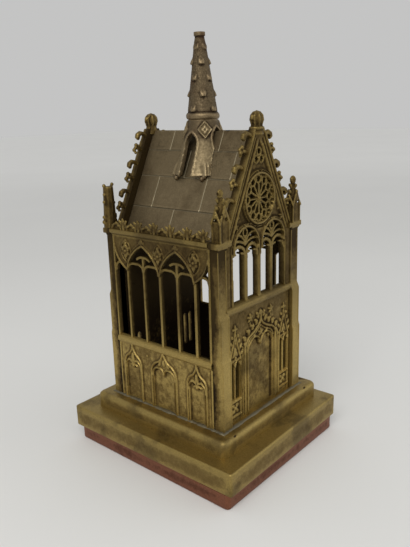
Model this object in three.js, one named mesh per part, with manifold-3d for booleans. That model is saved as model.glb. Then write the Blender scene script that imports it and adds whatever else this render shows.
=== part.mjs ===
// A miniature Gothic chapel in cast brass, a reliquary, standing on two brass steps and a copper plate.
// Units are millimetres, +Z is up and the origin is the middle of the underside.
// The portal front faces -Y, the ridge of the roof runs along Y and the arcades face -X and +X.

import * as THREE from 'three';
import { mergeVertices } from 'three/addons/utils/BufferGeometryUtils.js';
import Module from 'manifold-3d';

const wasm = await Module();
wasm.setup();

// ---------------------------------------------------------------- driving sizes

const GAP = 0.3; // between pieces that are soldered edge to edge
const BITE = 0.4; // how deep an applied moulding is rooted in its wall
const SHARPEST_MITRE = 0.4; // keeps a moulding from running out into a spike at a sharp bend

const copperPlate = { halfX: 61.2, halfY: 67.6, bottom: 0, top: 10, x: -0.4, y: -1.2, turn: -0.8 };
const lowerStep = { halfX: 62.5, halfY: 70.4, bottom: 10, top: 25, edge: 1.0 };
const upperStep = { halfX: 54, halfY: 57.9, bottom: 25, top: 35.9, round: 3.2, x: 1.4, y: -0.8, turn: -0.4 };

const chapel = {
  y: -2.1, // the chapel stands a little in front of the middle of its steps
  halfX: 43.7,
  halfY: 48.8,
  bottom: upperStep.top,
  corniceLow: 150.6,
  corniceTop: 154.7,
  ridge: 215,
};

const gable = {
  inner: 41.4, // distance of its inner face from the chapel's middle
  wall: 4.2, // thickness of the wall between the piers
  rakeStep: 2.04, // rise of the roof for each millimetre across
  rakeTop: 226.4, // height where the two outer rake lines would meet
  rakeWidth: 6.6, // across the sloping moulding
};

const pier = {
  width: 8.9,
  depths: [7.4, 6.6, 4.9], // below the first set-off, the second, and above
  setoffs: [81, 108.5],
  slope: 2.6,
};

const lancet = {
  halfSpan: 28,
  mullion: 3,
  middle: 3.8,
  sill: 113,
  spring: 141.5,
  crown: 147.6,
  sunk: 1.6, // depth of the blind lights of the back wall
};
const bigArch = { x: 13.8, z: 147, radius: 13.2, rim: 1.9 };
const rose = { z: 174.9, radius: 16.2, rim: 1.9, spokes: 12, hub: 1.7, petal: 8.9, eye: 1.75, eyeRing: 11.7 };
const portal = {
  halfWidth: 14,
  jamb: 17.2,
  spring: 76,
  lobeX: 6.6,
  lobe: 86.5,
  pendant: 81,
  shoulder: 83.5,
  apex: 99,
  sunk: 1.1,
};
const doorWindow = { x: 27.3, light: 3.9, bar: 1.7, low: 51.5, spring: 73.5, crown: 77, apex: 100.5 };

const side = { inner: 40.7, wall: 3, halfLength: gable.inner - GAP };
const arcade = { pitch: 14.45, bar: 1.7, jamb: 39.6, sill: 81, spring: 128.5, crown: 132.4, apex: 145.6 };
const blind = { x: 28.4, halfSide: 8, halfMiddle: 11, spring: 62.5, apex: 77, roll: 1.5, raise: 0.8 };
const crest = { first: -42.8, pitch: 13.65, count: 6, thick: 2, rise: 9 };

const roof = { eave: 30.2, foot: 153.5, sheet: 1.6, gutter: side.inner - GAP, halfLength: gable.inner - GAP };
const fleche = {
  y: -2.4, // it stands a little in front of the middle of the ridge
  skirt: [[8.6, 221.8], [11.4, 214.5], [13.2, 206], [16.2, 197], [19.6, 188.4]],
  sides: 12,
  wall: 2.2,
  opening: 4.5,
  openingSpring: 206,
  openingCrown: 213.6,
  ringLow: 221.5,
  ringHigh: 225.9,
  ringRadius: 10.6,
  spireBase: 9.3,
  spireTop: 2.9,
  rimLow: 270.4,
  top: 273,
  crocketRows: [228.6, 237.6, 247.1, 256.5],
};

// ---------------------------------------------------------------- finishes

function metal(color, roughness) {
  return new THREE.MeshStandardMaterial({ color, roughness, metalness: 1 });
}

const finishes = {
  copper: metal(0x7a4a34, 0.5),
  step: metal(0x7c6a3e, 0.45),
  wall: metal(0x866a33, 0.5),
  roof: metal(0x6d6349, 0.5),
  spire: metal(0x75664a, 0.6),
};

// ---------------------------------------------------------------- solids

function solidOf(geometry) {
  const bare = geometry.index ? geometry.toNonIndexed() : geometry.clone();
  bare.deleteAttribute('normal');
  bare.deleteAttribute('uv');
  const welded = mergeVertices(bare, 1e-4);
  const mesh = new wasm.Mesh({
    numProp: 3,
    vertProperties: new Float32Array(welded.attributes.position.array),
    triVerts: new Uint32Array(welded.index.array),
  });
  return new wasm.Manifold(mesh);
}

function join(geometries) {
  return geometries.map(solidOf).reduce((whole, piece) => whole.add(piece));
}

function cut(solid, geometries) {
  return geometries.map(solidOf).reduce((whole, piece) => whole.subtract(piece), solid);
}

function meshOf(name, solid, material) {
  const { vertProperties, triVerts } = solid.getMesh();
  const geometry = new THREE.BufferGeometry();
  geometry.setAttribute('position', new THREE.BufferAttribute(new Float32Array(vertProperties), 3));
  geometry.setIndex(new THREE.BufferAttribute(new Uint32Array(triVerts), 1));
  const mesh = new THREE.Mesh(geometry, material);
  mesh.name = name;
  return mesh;
}

// ---------------------------------------------------------------- flat shapes and how they gain depth
// A wall is worked face on: X runs along it, Y is height and Z is outward from its inner face.

function plateOf(shape, low, high, segments = 4) {
  const options = { depth: high - low, bevelEnabled: false, curveSegments: segments };
  return new THREE.ExtrudeGeometry(shape, options).translate(0, 0, low);
}

function polygon(points) {
  return new THREE.Shape(points.map(([x, y]) => new THREE.Vector2(x, y)));
}

function rectangle(x0, y0, x1, y1) {
  return polygon([[x0, y0], [x1, y0], [x1, y1], [x0, y1]]);
}

// A strip of even width along a line of points, mitred where the line bends.
function strip(points, width, closed = false) {
  const at = (i) => new THREE.Vector2(...points[(i + points.length) % points.length]);
  const left = [];
  const right = [];
  points.forEach((_, i) => {
    const here = at(i);
    const before = i > 0 || closed ? here.clone().sub(at(i - 1)).normalize() : null;
    const after = i < points.length - 1 || closed ? at(i + 1).sub(here).normalize() : null;
    const next = after ?? before;
    const along = (before ?? after).clone().add(next).normalize();
    const across = new THREE.Vector2(-along.y, along.x);
    const square = new THREE.Vector2(-next.y, next.x);
    const step = width / 2 / Math.max(SHARPEST_MITRE, Math.abs(across.dot(square)));
    left.push(here.clone().addScaledVector(across, step));
    right.push(here.clone().addScaledVector(across, -step));
  });
  if (!closed) {
    return new THREE.Shape([...left, ...right.reverse()]);
  }
  const outerFirst = THREE.ShapeUtils.area(left) ** 2 > THREE.ShapeUtils.area(right) ** 2;
  const shape = new THREE.Shape(outerFirst ? left : right);
  shape.holes.push(new THREE.Path(outerFirst ? right : left));
  return shape;
}

function raised(points, width, from, height, closed = false) {
  return plateOf(strip(points, width, closed), from - BITE, from + height);
}

function arc(x, y, radius, start, end, steps) {
  const points = [];
  for (let i = 0; i <= steps; i += 1) {
    const angle = THREE.MathUtils.degToRad(start + ((end - start) * i) / steps);
    points.push([x + radius * Math.cos(angle), y + radius * Math.sin(angle)]);
  }
  return points;
}

// One side of a curved head, from (x0, y0) to (x1, y1), bulging by the given share of its chord.
function bow(x0, y0, x1, y1, bulge, steps) {
  const points = [];
  for (let i = 0; i <= steps; i += 1) {
    const t = i / steps;
    const swell = 4 * bulge * t * (1 - t);
    points.push([x0 + (x1 - x0) * t - (y1 - y0) * swell, y0 + (y1 - y0) * t + (x1 - x0) * swell]);
  }
  return points;
}

function mirrored(points) {
  return points.map(([x, y]) => [-x, y]).reverse();
}

function moved(points, x, y = 0) {
  return points.map(([px, py]) => [px + x, py + y]);
}

// A pointed opening or moulding line from its left foot over the crown to its right foot.
function pointedHead(halfWidth, foot, spring, crown, bulge = 0.16, steps = 2) {
  const left = [[-halfWidth, foot], ...bow(-halfWidth, spring, 0, crown, bulge, steps)];
  return [...left, ...mirrored(left).slice(1)];
}

// An ogee: the sides bow outward, then sweep up into a point.
function ogeeHead(halfWidth, foot, spring, apex, steps = 2) {
  const turnX = halfWidth * 0.42;
  const turnY = spring + (apex - spring) * 0.48;
  const lower = bow(-halfWidth, spring, -turnX, turnY, 0.16, steps);
  const upper = bow(-turnX, turnY, 0, apex, -0.1, 1).slice(1);
  const left = [[-halfWidth, foot], ...lower, ...upper];
  return [...left, ...mirrored(left).slice(1)];
}

// A bar with one section all along X; the section is given as [outward, height] points.
function barAlongX(section, x0, x1) {
  const shape = polygon(section.map(([z, y]) => [-z, y]));
  return plateOf(shape, x0, x1).rotateY(Math.PI / 2);
}

function block(x0, x1, y0, y1, z0, z1) {
  const size = [x1 - x0, y1 - y0, z1 - z0];
  return new THREE.BoxGeometry(...size).translate((x0 + x1) / 2, (y0 + y1) / 2, (z0 + z1) / 2);
}

// A bud or knob of eight facets.
function bud(x, y, z, radius, tall = 1, deep = 1) {
  return new THREE.OctahedronGeometry(radius * 1.2, 0).scale(1, tall, deep).translate(x, y, z);
}

// ---------------------------------------------------------------- copper plate and steps

function roundedRectangle(halfX, halfY, radius) {
  const corners = [[1, 1, 0], [-1, 1, 90], [-1, -1, 180], [1, -1, 270]];
  return corners.flatMap(([sx, sy, start]) =>
    arc(sx * (halfX - radius), sy * (halfY - radius), radius, start, start + 90, 3));
}

// A slab whose upper edge steps in along a list of [inset, height] levels.
function slab(size, levels, cornerRadius) {
  const rings = levels.map(([inset, z]) =>
    roundedRectangle(size.halfX - inset, size.halfY - inset, Math.max(0.2, cornerRadius - inset))
      .map(([x, y]) => [x, y, z]));
  const count = rings[0].length;
  const positions = rings.flat().flat();
  const faces = [];
  for (let level = 0; level < rings.length - 1; level += 1) {
    for (let i = 0; i < count; i += 1) {
      const a = level * count + i;
      const b = level * count + ((i + 1) % count);
      faces.push(a, b, b + count, a, b + count, a + count);
    }
  }
  for (let i = 1; i < count - 1; i += 1) {
    const top = (rings.length - 1) * count;
    faces.push(0, i + 1, i, top, top + i, top + i + 1);
  }
  const geometry = new THREE.BufferGeometry();
  geometry.setAttribute('position', new THREE.Float32BufferAttribute(positions, 3));
  geometry.setIndex(faces);
  return geometry;
}

function placed(mesh, size) {
  mesh.position.set(size.x ?? 0, size.y ?? 0, 0);
  mesh.rotation.z = THREE.MathUtils.degToRad(size.turn ?? 0);
  return mesh;
}

function makeCopperPlate() {
  const levels = [[0.6, copperPlate.bottom], [0, copperPlate.bottom + 0.8], [0, copperPlate.top]];
  const plate = join([slab(copperPlate, levels, 2.6)]);
  return placed(meshOf('copper_bottom_plate', plate, finishes.copper), copperPlate);
}

function makeLowerStep() {
  const { bottom, top, edge } = lowerStep;
  const levels = [[0.5, bottom], [0, bottom + 0.6], [0, top - edge], [edge, top]];
  return placed(meshOf('lower_step', join([slab(lowerStep, levels, 1.6)]), finishes.step), lowerStep);
}

function makeUpperStep() {
  const { bottom, top, round } = upperStep;
  const levels = [[0, bottom]];
  for (let i = 0; i <= 3; i += 1) {
    const angle = (Math.PI / 6) * i;
    levels.push([round * (1 - Math.cos(angle)), top - round * (1 - Math.sin(angle))]);
  }
  return placed(meshOf('upper_step', join([slab(upperStep, levels, 4)]), finishes.step), upperStep);
}

// ---------------------------------------------------------------- arcaded side walls

function arcadeOpenings(front) {
  const { pitch, bar, jamb, sill, spring, crown, apex } = arcade;
  const holes = [];
  const through = (points) => holes.push(plateOf(polygon(points), -1, front + 1));
  for (let i = -3; i < 3; i += 1) {
    const x0 = Math.max(-jamb, i * pitch + bar / 2);
    const x1 = Math.min(jamb, (i + 1) * pitch - bar / 2);
    const half = (x1 - x0) / 2;
    through(moved(pointedHead(half, sill, spring, crown, 0.26), x0 + half));
  }
  for (const x of [-pitch, pitch]) {
    through(moved([[0, apex - 0.4], [-3.4, 139.6], [0, 138.9], [3.4, 139.6]], x));
    for (const hand of [-1, 1]) {
      through(moved([[1, 135.4], [4.4, 138.6], [8.6, 134.6]].map(([px, py]) =>
        [hand * px, py]), x));
    }
  }
  const atJamb = [[jamb, apex - 3.4], [35.3, 139.2], [32.6, 134.4], [jamb, 134.6]];
  for (const hand of [-1, 1]) {
    through(atJamb.map(([px, py]) => [hand * px, py]));
  }
  return holes;
}

// Mouldings of the traceried heads, with the leaves between them.
function arcadeMouldings(front) {
  const { pitch, apex, jamb } = arcade;
  const bits = [];
  const line = (points, width, height) => bits.push(raised(points, width, front, height));
  for (const x of [-pitch, pitch]) {
    line(moved(pointedHead(pitch - 0.9, 129.5, 131.5, apex + 1.3, 0.13), x), 1.5, 0.7);
  }
  for (const hand of [-1, 1]) {
    const half = bow(29.8, 131.5, jamb + 0.8, 143.6, -0.12, 2);
    line(half.map(([x, y]) => [hand * x, y]), 1.5, 0.7);
  }
  for (let i = -2; i <= 2; i += 2) {
    const x = i * pitch;
    bits.push(bud(x, 142.8, front, 3.4, 1.35, 0.4));
  }
  return bits;
}

function blindArcade(front) {
  const { x, halfSide, halfMiddle, spring, apex, roll, raise } = blind;
  const foot = chapel.bottom + 0.5;
  const bits = [];
  for (const centre of [-x, x]) {
    bits.push(raised(moved(ogeeHead(halfSide, foot, spring - 1, apex), centre), roll, front, raise));
    const lobe = [[-7, spring - 3], [-3.4, spring + 0.8], [0, spring - 2]];
    const cusp = [...lobe, ...mirrored(lobe).slice(1)];
    bits.push(raised(moved(cusp, centre), 1, front, raise * 0.7));
  }
  bits.push(raised(ogeeHead(halfMiddle, foot, spring + 1, apex + 0.6), roll, front, raise));
  const trefoil = [[-10, spring - 2], [-5, spring + 4], [0, spring], [5, spring + 4], [10, spring - 2]];
  bits.push(raised(trefoil, 1, front, raise * 0.7));
  return bits;
}

// One fleuron of the cresting: three leaves on a stem.
function fleuron(x, base, inner, outer) {
  const points = [
    [-1, 0], [-1.1, 3.4], [-3.9, 5.4], [-2.9, 7.2], [-1.3, 6.2], [0, crest.rise],
  ];
  const outline = [...points, ...mirrored(points).slice(1)];
  return plateOf(polygon(moved(outline, x, base)), inner, outer);
}

function cresting(front) {
  const base = chapel.corniceTop - BITE;
  const inner = front - 0.4;
  const outer = inner + crest.thick;
  const bits = [];
  for (let i = 0; i < crest.count; i += 1) {
    const x = crest.first + crest.pitch * (i + 0.5);
    const hoop = strip(arc(x, base, 4.3, 0, 180, 4), 1.5);
    bits.push(plateOf(hoop, inner, outer));
    bits.push(fleuron(Math.min(x + crest.pitch / 2, side.halfLength - 4.2), base, inner, outer));
  }
  return bits;
}

function makeSideWall(name) {
  const { wall, halfLength } = side;
  const { corniceLow, corniceTop, bottom } = chapel;
  const panel = plateOf(rectangle(-halfLength, bottom, halfLength, corniceLow + 1), 0, wall);
  const cornice = [
    [0, corniceLow], [wall, corniceLow], [wall + 1.6, corniceLow + 1.6], [wall + 2.3, corniceLow + 2],
    [wall + 2.3, corniceTop], [0, corniceTop],
  ];
  const sill = [
    [1, 75.8], [wall, 75.8], [wall + 1.3, 77.4], [wall + 1.3, 80], [wall - 1.4, 81.8], [1, 81.8],
  ];
  const opened = cut(solidOf(panel), arcadeOpenings(wall));
  const applied = [
    barAlongX(cornice, -halfLength, halfLength),
    barAlongX(sill, -halfLength, halfLength),
    ...arcadeMouldings(wall),
    ...blindArcade(wall),
    ...cresting(wall),
  ];
  return meshOf(name, opened.add(join(applied)), finishes.wall);
}

// ---------------------------------------------------------------- gable walls

function gableOutline() {
  const { rakeStep, rakeTop } = gable;
  const { halfX, bottom, corniceTop } = chapel;
  const shoulder = (rakeTop - corniceTop) / rakeStep;
  const tip = 5;
  const slopeEnd = [tip, rakeTop - tip * rakeStep];
  const half = [[halfX, bottom], [halfX, corniceTop], [shoulder, corniceTop], slopeEnd];
  return polygon([...half, ...mirrored(half)]);
}

// The lights and their tracery go through the portal front; on the back wall they are only sunk.
function lancetOpenings(front, blind) {
  const { halfSpan, mullion, middle, sill, spring, crown, sunk } = lancet;
  const split = bigArch.x;
  const from = blind ? front - sunk : -1;
  const spans = [[middle / 2, split - mullion / 2], [split + mullion / 2, halfSpan]];
  const holes = [];
  for (const hand of [-1, 1]) {
    for (const [x0, x1] of spans) {
      const half = (x1 - x0) / 2;
      const head = pointedHead(half, sill, spring, crown, 0.2);
      holes.push(plateOf(polygon(moved(head, hand * (x0 + half))), from, front + 1));
    }
    for (const [lean, shift] of [[-38, -5.2], [38, 5.2], [0, 0]]) {
      holes.push(teardrop(hand * split + shift, lean ? 150.4 : 152, lean, from, front + 1));
    }
  }
  return holes;
}

// A pointed drop of tracery, leaning by some degrees.
function teardrop(x, y, lean, low, high) {
  const size = lean ? 3.6 : 3.1;
  const outline = [[0, size * 1.35], [-size * 0.62, 0], [0, -size * 0.7], [size * 0.62, 0]];
  const geometry = plateOf(polygon(outline), low, high);
  return geometry.rotateZ(THREE.MathUtils.degToRad(lean)).translate(x, y, 0);
}

function roseOpenings(front) {
  const { z, spokes, hub, petal, eye, eyeRing } = rose;
  const holes = [];
  const wedge = (360 / spokes) * 0.5;
  for (let i = 0; i < spokes; i += 1) {
    const turn = (360 / spokes) * (i + 0.5);
    const outer = arc(0, 0, petal, turn - wedge * 0.72, turn + wedge * 0.72, 1);
    const inner = [arc(0, 0, hub + 1.2, turn, turn, 1)[0]];
    holes.push(plateOf(polygon(moved([...outer, ...inner], 0, z)), -1, front + 1));
    const angle = THREE.MathUtils.degToRad(turn + wedge);
    const ring = arc(eyeRing * Math.cos(angle), z + eyeRing * Math.sin(angle), eye, turn, turn + 270, 3);
    holes.push(plateOf(polygon(ring), -1, front + 1));
  }
  return holes;
}

function trefoilOpening(front) {
  return [[0, 203], [-2.5, 198.4], [2.5, 198.4]].map(([x, y]) =>
    plateOf(polygon(arc(x, y, 1.7, 0, 270, 3)), -1, front + 1));
}

function doorWindowOpenings(front) {
  const { x, light, bar, low, spring, crown } = doorWindow;
  const holes = [];
  for (const centre of [-x, x]) {
    for (const hand of [-1, 1]) {
      const middle = centre + hand * (bar + light) / 2;
      const slit = moved(pointedHead(light / 2, low, spring, crown, 0.15, 1), middle);
      holes.push(plateOf(polygon(slit), -1, front + 1));
    }
  }
  return holes;
}

// The outline of the doorway: two lobes that meet in a hanging point.
function doorHead(halfWidth, foot, lobe, pendant) {
  const { lobeX, spring } = portal;
  const outer = bow(-halfWidth, spring, -lobeX, lobe, 0.16, 2);
  const inner = bow(-lobeX, lobe, 0, pendant, 0.18, 2).slice(1);
  const left = [[-halfWidth, foot], ...outer, ...inner];
  return [...left, ...mirrored(left).slice(1)];
}

// The closed doorway is sunk behind its cusped head.
function portalRecess(front) {
  const { halfWidth, lobe, pendant, sunk } = portal;
  const belowFoot = chapel.bottom - 6;
  return plateOf(polygon(doorHead(halfWidth, belowFoot, lobe, pendant)), front - sunk, front + 2);
}

function portalMouldings(front, plain) {
  const { halfWidth, jamb, lobe, pendant, shoulder, apex } = portal;
  const foot = chapel.bottom + 0.5;
  const sweep = bow(-13.5, 86.2, 0, apex, -0.06, 2);
  const ogee = [[-jamb - 0.4, shoulder], ...sweep, ...mirrored(sweep).slice(1), [jamb + 0.4, shoulder]];
  const bits = [
    raised(doorHead(halfWidth + 0.8, foot, lobe + 0.8, pendant - 0.4), 1.3, front, 1),
    raised(ogee, 1.6, front, 1.3),
  ];
  for (const hand of [-1, 1]) {
    const ends = [hand * (jamb - 0.6), hand * (jamb + 1.3)].sort((p, q) => p - q);
    bits.push(block(...ends, foot, shoulder + 1, front - BITE, front + 1.1));
    bits.push(bud(hand * jamb, 87, front + 0.4, 1.6, 2, 0.8));
  }
  bits.push(bud(0, 102.8, front + 0.5, 2.1, 1.4, 0.8));
  if (plain) {
    return bits;
  }
  for (const hand of [-1, 1]) {
    bits.push(bud(hand * 11, 101, front + 0.2, 1.7, 1.3, 0.7));
    bits.push(bud(hand * 4.6, 97, front + 0.5, 1.9, 1, 0.8));
    bits.push(bud(hand * 10.4, 92.4, front + 0.5, 1.9, 1, 0.8));
  }
  bits.push(bud(0, 90.6, front + 0.4, 2.2, 1, 0.7));
  return bits;
}

// The canopies over the small windows, and the square leafy panels below them.
function canopies(front, plain) {
  const { x, light, bar, low, crown, apex } = doorWindow;
  const half = light + bar / 2 + 0.9;
  const foot = chapel.bottom + 0.5;
  const bits = [];
  for (const centre of [-x, x]) {
    const hood = [[-half, foot], [-half, crown + 0.5], [0, apex - 4], [half, crown + 0.5], [half, foot]];
    bits.push(raised(moved(hood, centre), 1.1, front, 0.9));
    bits.push(raised(moved([[-half, low - 1], [half, low - 1]], centre), 1.2, front, 0.9));
    bits.push(raised(moved([[-half, 40], [half, 40]], centre), 1.1, front, 0.8));
    bits.push(bud(centre, apex - 0.8, front + 0.4, 1.8, 1.5, 0.8));
    bits.push(bud(centre, 45.3, front, 3.4, 1, 0.4));
    if (plain) {
      continue;
    }
    bits.push(bud(centre, 83.5, front + 0.3, 2, 1.2, 0.7));
    for (const hand of [-1, 1]) {
      bits.push(bud(centre + hand * 4.2, 88, front + 0.3, 1.7, 1.4, 0.8));
    }
  }
  return bits;
}

function gableMouldings(front) {
  const { rakeStep, rakeTop, rakeWidth } = gable;
  const bits = [];
  const drop = rakeWidth / Math.cos(Math.atan(rakeStep));
  const inside = rakeTop - drop;
  const low = chapel.corniceTop + 1;
  for (const hand of [-1, 1]) {
    const edge = (top, z) => [hand * ((top - z) / rakeStep), z];
    const outer = rakeTop - 0.9;
    bits.push(raised([edge(outer, low), edge(outer, 214)], 1.8, front, 0.9));
    const { x, z, radius, rim } = bigArch;
    bits.push(raised(moved(arc(0, z, radius - rim / 2, 0, 180, 7), hand * x), rim, front, 1));
  }
  bits.push(raised(arc(0, rose.z, rose.radius - rose.rim / 2, 0, 337.5, 15), rose.rim, front, 0.9, true));
  bits.push(bud(0, rose.z, front - 0.2, 2.1, 1, 0.6));
  bits.push(bud(-25.4, 160.5, front, 1.5, 1, 0.8));
  bits.push(bud(25.4, 160.5, front, 1.5, 1, 0.8));
  const sill = [
    [1, 107.8], [front, 107.8], [front + 1.4, 109.6], [front + 1.4, 112.2], [front - 2.6, 114.2], [1, 114.2],
  ];
  bits.push(barAlongX(sill, -36, 36));
  return bits;
}

// A stepped corner pier: its front face goes back at each sloping set-off.
function piers() {
  const { width, depths, setoffs, slope } = pier;
  const { halfX, bottom, corniceLow, corniceTop } = chapel;
  const profile = [
    [0, bottom], [depths[0], bottom], [depths[0], setoffs[0]], [depths[1], setoffs[0] + slope],
    [depths[1], setoffs[1]], [depths[2], setoffs[1] + slope * 1.4], [depths[2], corniceLow - 1],
    [depths[2] + 1.4, corniceLow + 0.6], [depths[2] + 1.4, corniceTop], [0, corniceTop],
  ];
  const bits = [];
  for (const hand of [-1, 1]) {
    const ends = [hand * halfX, hand * (halfX - width)].sort((p, q) => p - q);
    const collar = [hand * (halfX + 1.9), hand * 31.6].sort((p, q) => p - q);
    bits.push(barAlongX(profile, ...ends));
    bits.push(block(...collar, corniceLow + 0.8, corniceTop, 0, depths[2] + 1.4));
  }
  return bits;
}

// A pinnacle over a pier: square shaft, gablet, then a crocketed point with a bud.
function pinnacle(x, broken) {
  const base = chapel.corniceTop - BITE;
  const middle = 3.8;
  if (broken) {
    return [
      new THREE.CylinderGeometry(3.3, 4.1, 27, 4, 1)
        .rotateY(Math.PI / 4)
        .translate(x + 2.6, base + 13.5, middle),
      bud(x + 0.6, base + 27.4, middle, 1.9, 1, 1),
      bud(x + 4.9, base + 26.8, middle, 1.7, 1, 1),
      bud(x + 6, base + 17, middle, 1.5, 1, 1),
      bud(x - 2, base + 5, middle, 2.4, 1.6, 1),
      bud(x + 6.2, base + 4, middle, 2.4, 1.6, 1),
    ];
  }
  const bits = [
    block(x - 4.4, x + 4.4, base, base + 12.6, middle - 3.2, middle + 3.2),
    plateOf(
      polygon([[x - 5.4, base + 11], [x + 5.4, base + 11], [x, base + 20.5]]),
      middle - 3.6,
      middle + 3.6,
    ),
    new THREE.CylinderGeometry(1.3, 3.9, 14, 6, 1).translate(x, base + 19, middle),
    bud(x, base + 27.6, middle, 2.6, 1.15, 1),
  ];
  for (const hand of [-1, 1]) {
    bits.push(bud(x + hand * 4.7, base + 15.4, middle + 1, 1.7, 1.2, 1.1));
    bits.push(bud(x + hand * 3.2, base + 21, middle, 1.7, 1, 1));
  }
  return bits;
}

// A crocket is either one long hook or a pair of buds on a short stem.
function crocket(along, kind, hand) {
  const hook = [[-1.7, -1], [-1.5, 3.4], [0.4, 6.5], [3.4, 6.9], [4.9, 4.2], [1.8, 4.8], [1.3, -1]];
  const buds = [[-1.4, -1], [-2.6, 3.8], [-1.4, 6.1], [1.1, 5], [3.6, 5.8], [4.4, 2.7], [1.3, -1]];
  const geometry = plateOf(polygon(kind === 'hook' ? hook : buds), -1.5, 1.5);
  const tilt = Math.atan(gable.rakeStep);
  const z = gable.rakeTop - along * Math.sin(tilt);
  const x = along * Math.cos(tilt);
  geometry.rotateZ(-tilt).translate(x, z, gable.wall / 2);
  return hand > 0 ? geometry : turnedOver(geometry);
}

// The mirror image in X, with its faces kept pointing out.
function turnedOver(geometry) {
  const flipped = geometry.index ? geometry.toNonIndexed() : geometry.clone();
  flipped.scale(-1, 1, 1);
  const { array } = flipped.attributes.position;
  for (let i = 0; i < array.length; i += 9) {
    for (let k = 0; k < 3; k += 1) {
      [array[i + k], array[i + 3 + k]] = [array[i + 3 + k], array[i + k]];
    }
  }
  return flipped;
}

function rakeCrockets() {
  const bits = [];
  const spacing = 10.1;
  for (let i = 0; i < 6; i += 1) {
    for (const hand of [-1, 1]) {
      bits.push(crocket(16.5 + i * spacing, i % 2 ? 'buds' : 'hook', hand));
    }
  }
  return bits;
}

// The finial on the apex: a neck, then a bud of curling leaves.
function apexFinial(collared) {
  const middle = gable.wall / 2;
  const profile = [[0, 215.4], [4.5, 215.4], [4, 217.6], [5.4, 221.4], [4, 225.4], [0, 226.8]];
  const body = new THREE.LatheGeometry(profile.map(([r, y]) => new THREE.Vector2(r, y)), 6);
  const bits = [body.scale(1, 1, 0.8).translate(0, 0, middle)];
  for (const hand of [-1, 1]) {
    bits.push(bud(hand * 4.6, 222.6, middle, 2.3, 1.2, 1));
  }
  bits.push(bud(0, 222, middle + 3.4, 2.2, 1.2, 1));
  bits.push(bud(0, 222, middle - 3.4, 2.2, 1.2, 1));
  if (collared) {
    bits.push(new THREE.CylinderGeometry(5.3, 5.3, 1.5, 6).scale(1, 1, 0.8).translate(0, 216.3, middle));
  }
  return bits;
}

// The back wall has blind lights and a plainer relief, and one of its pinnacles is broken off.
function makeGableWall(name, back) {
  const front = gable.wall;
  const wall = solidOf(plateOf(gableOutline(), 0, front));
  const openings = [
    ...lancetOpenings(front, back),
    ...roseOpenings(front),
    ...trefoilOpening(front),
    ...doorWindowOpenings(front),
    portalRecess(front),
  ];
  const applied = [
    ...piers(),
    ...gableMouldings(front),
    ...portalMouldings(front, back),
    ...canopies(front, back),
    ...rakeCrockets(),
    ...apexFinial(!back),
    ...pinnacle(-38.4, false),
    ...pinnacle(38.4, back),
  ];
  return meshOf(name, cut(wall, openings).add(join(applied)), finishes.wall);
}

// ---------------------------------------------------------------- roof

// One bent sheet: the slope, then a flat gutter from its foot to the side wall.
function makeRoofSlope(name, hand) {
  const { eave, foot, sheet, gutter, halfLength } = roof;
  const { ridge } = chapel;
  const middle = GAP / 2;
  const steepness = (ridge - foot) / eave;
  const drop = sheet * Math.sqrt(1 + steepness ** 2);
  const underBend = (ridge - drop - foot + sheet) / steepness;
  const section = [
    [middle, ridge], [eave, foot], [gutter, foot],
    [gutter, foot - sheet], [underBend, foot - sheet], [middle, ridge - drop],
  ];
  const sheetGeometry = plateOf(polygon(section), -halfLength, halfLength).rotateX(Math.PI / 2);
  return meshOf(name, solidOf(hand > 0 ? sheetGeometry : turnedOver(sheetGeometry)), finishes.roof);
}

// ---------------------------------------------------------------- fleche

function skirtProfile() {
  const outer = fleche.skirt.slice().reverse();
  const inner = fleche.skirt.map(([r, z]) => [r - fleche.wall, z]);
  return [...outer, ...inner, outer[0]].map(([r, z]) => new THREE.Vector2(r, z));
}

function archedPassage(halfWidth, spring, crown) {
  const head = pointedHead(halfWidth, 170, spring, crown, 0.14, 2);
  return plateOf(polygon(head), -40, 40).rotateX(Math.PI / 2);
}

function roofWedge() {
  const { eave, foot } = roof;
  const clear = 0.35;
  const reach = 60;
  const slope = (chapel.ridge - foot) / eave;
  const top = chapel.ridge + clear * Math.sqrt(1 + slope * slope);
  const low = top - reach * slope;
  const wedge = polygon([[-reach, low], [reach, low], [0, top]]);
  return plateOf(wedge, -reach, reach).rotateX(Math.PI / 2);
}

function spireSolids() {
  const { spireBase, spireTop, ringLow, ringHigh, ringRadius, rimLow, top } = fleche;
  const ringMiddle = (ringLow + ringHigh) / 2;
  const profile = [
    [0, ringLow], [ringRadius - 1, ringLow], [ringRadius, ringMiddle], [ringRadius - 1, ringHigh - 0.4],
    [spireBase, ringHigh], [spireTop, rimLow], [spireTop + 0.6, rimLow + 0.6], [spireTop + 0.6, top],
    [spireTop - 1, top], [spireTop - 1.2, top - 1.4], [0, top - 1.4],
  ];
  const points = profile.map(([r, z]) => new THREE.Vector2(r, z));
  const solids = [new THREE.LatheGeometry(points, fleche.sides).rotateX(Math.PI / 2)];
  fleche.crocketRows.forEach((z, row) => {
    const radius = spireBase + ((spireTop - spireBase) * (z - ringHigh)) / (rimLow - ringHigh);
    for (let i = 0; i < 4; i += 1) {
      const angle = (Math.PI / 2) * i + (row % 2 ? Math.PI / 4 : 0);
      const leaf = new THREE.OctahedronGeometry(2, 0).scale(0.9, 0.9, 1.5);
      solids.push(leaf.translate(radius + 0.4, 0, z).rotateZ(angle));
    }
  });
  return solids;
}

function medallions() {
  const bits = [];
  for (let i = 0; i < 4; i += 1) {
    const diamond = plateOf(polygon([[-3.9, 0], [0, -4.6], [3.9, 0], [0, 4.6]]), 0, 2.4);
    const turned = diamond.rotateX(Math.PI / 2).rotateY(0.16).rotateZ(Math.PI / 2);
    bits.push(turned.translate(9.6, 0, 214.6).rotateZ(Math.PI / 4 + (Math.PI / 2) * i));
  }
  return bits;
}

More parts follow.
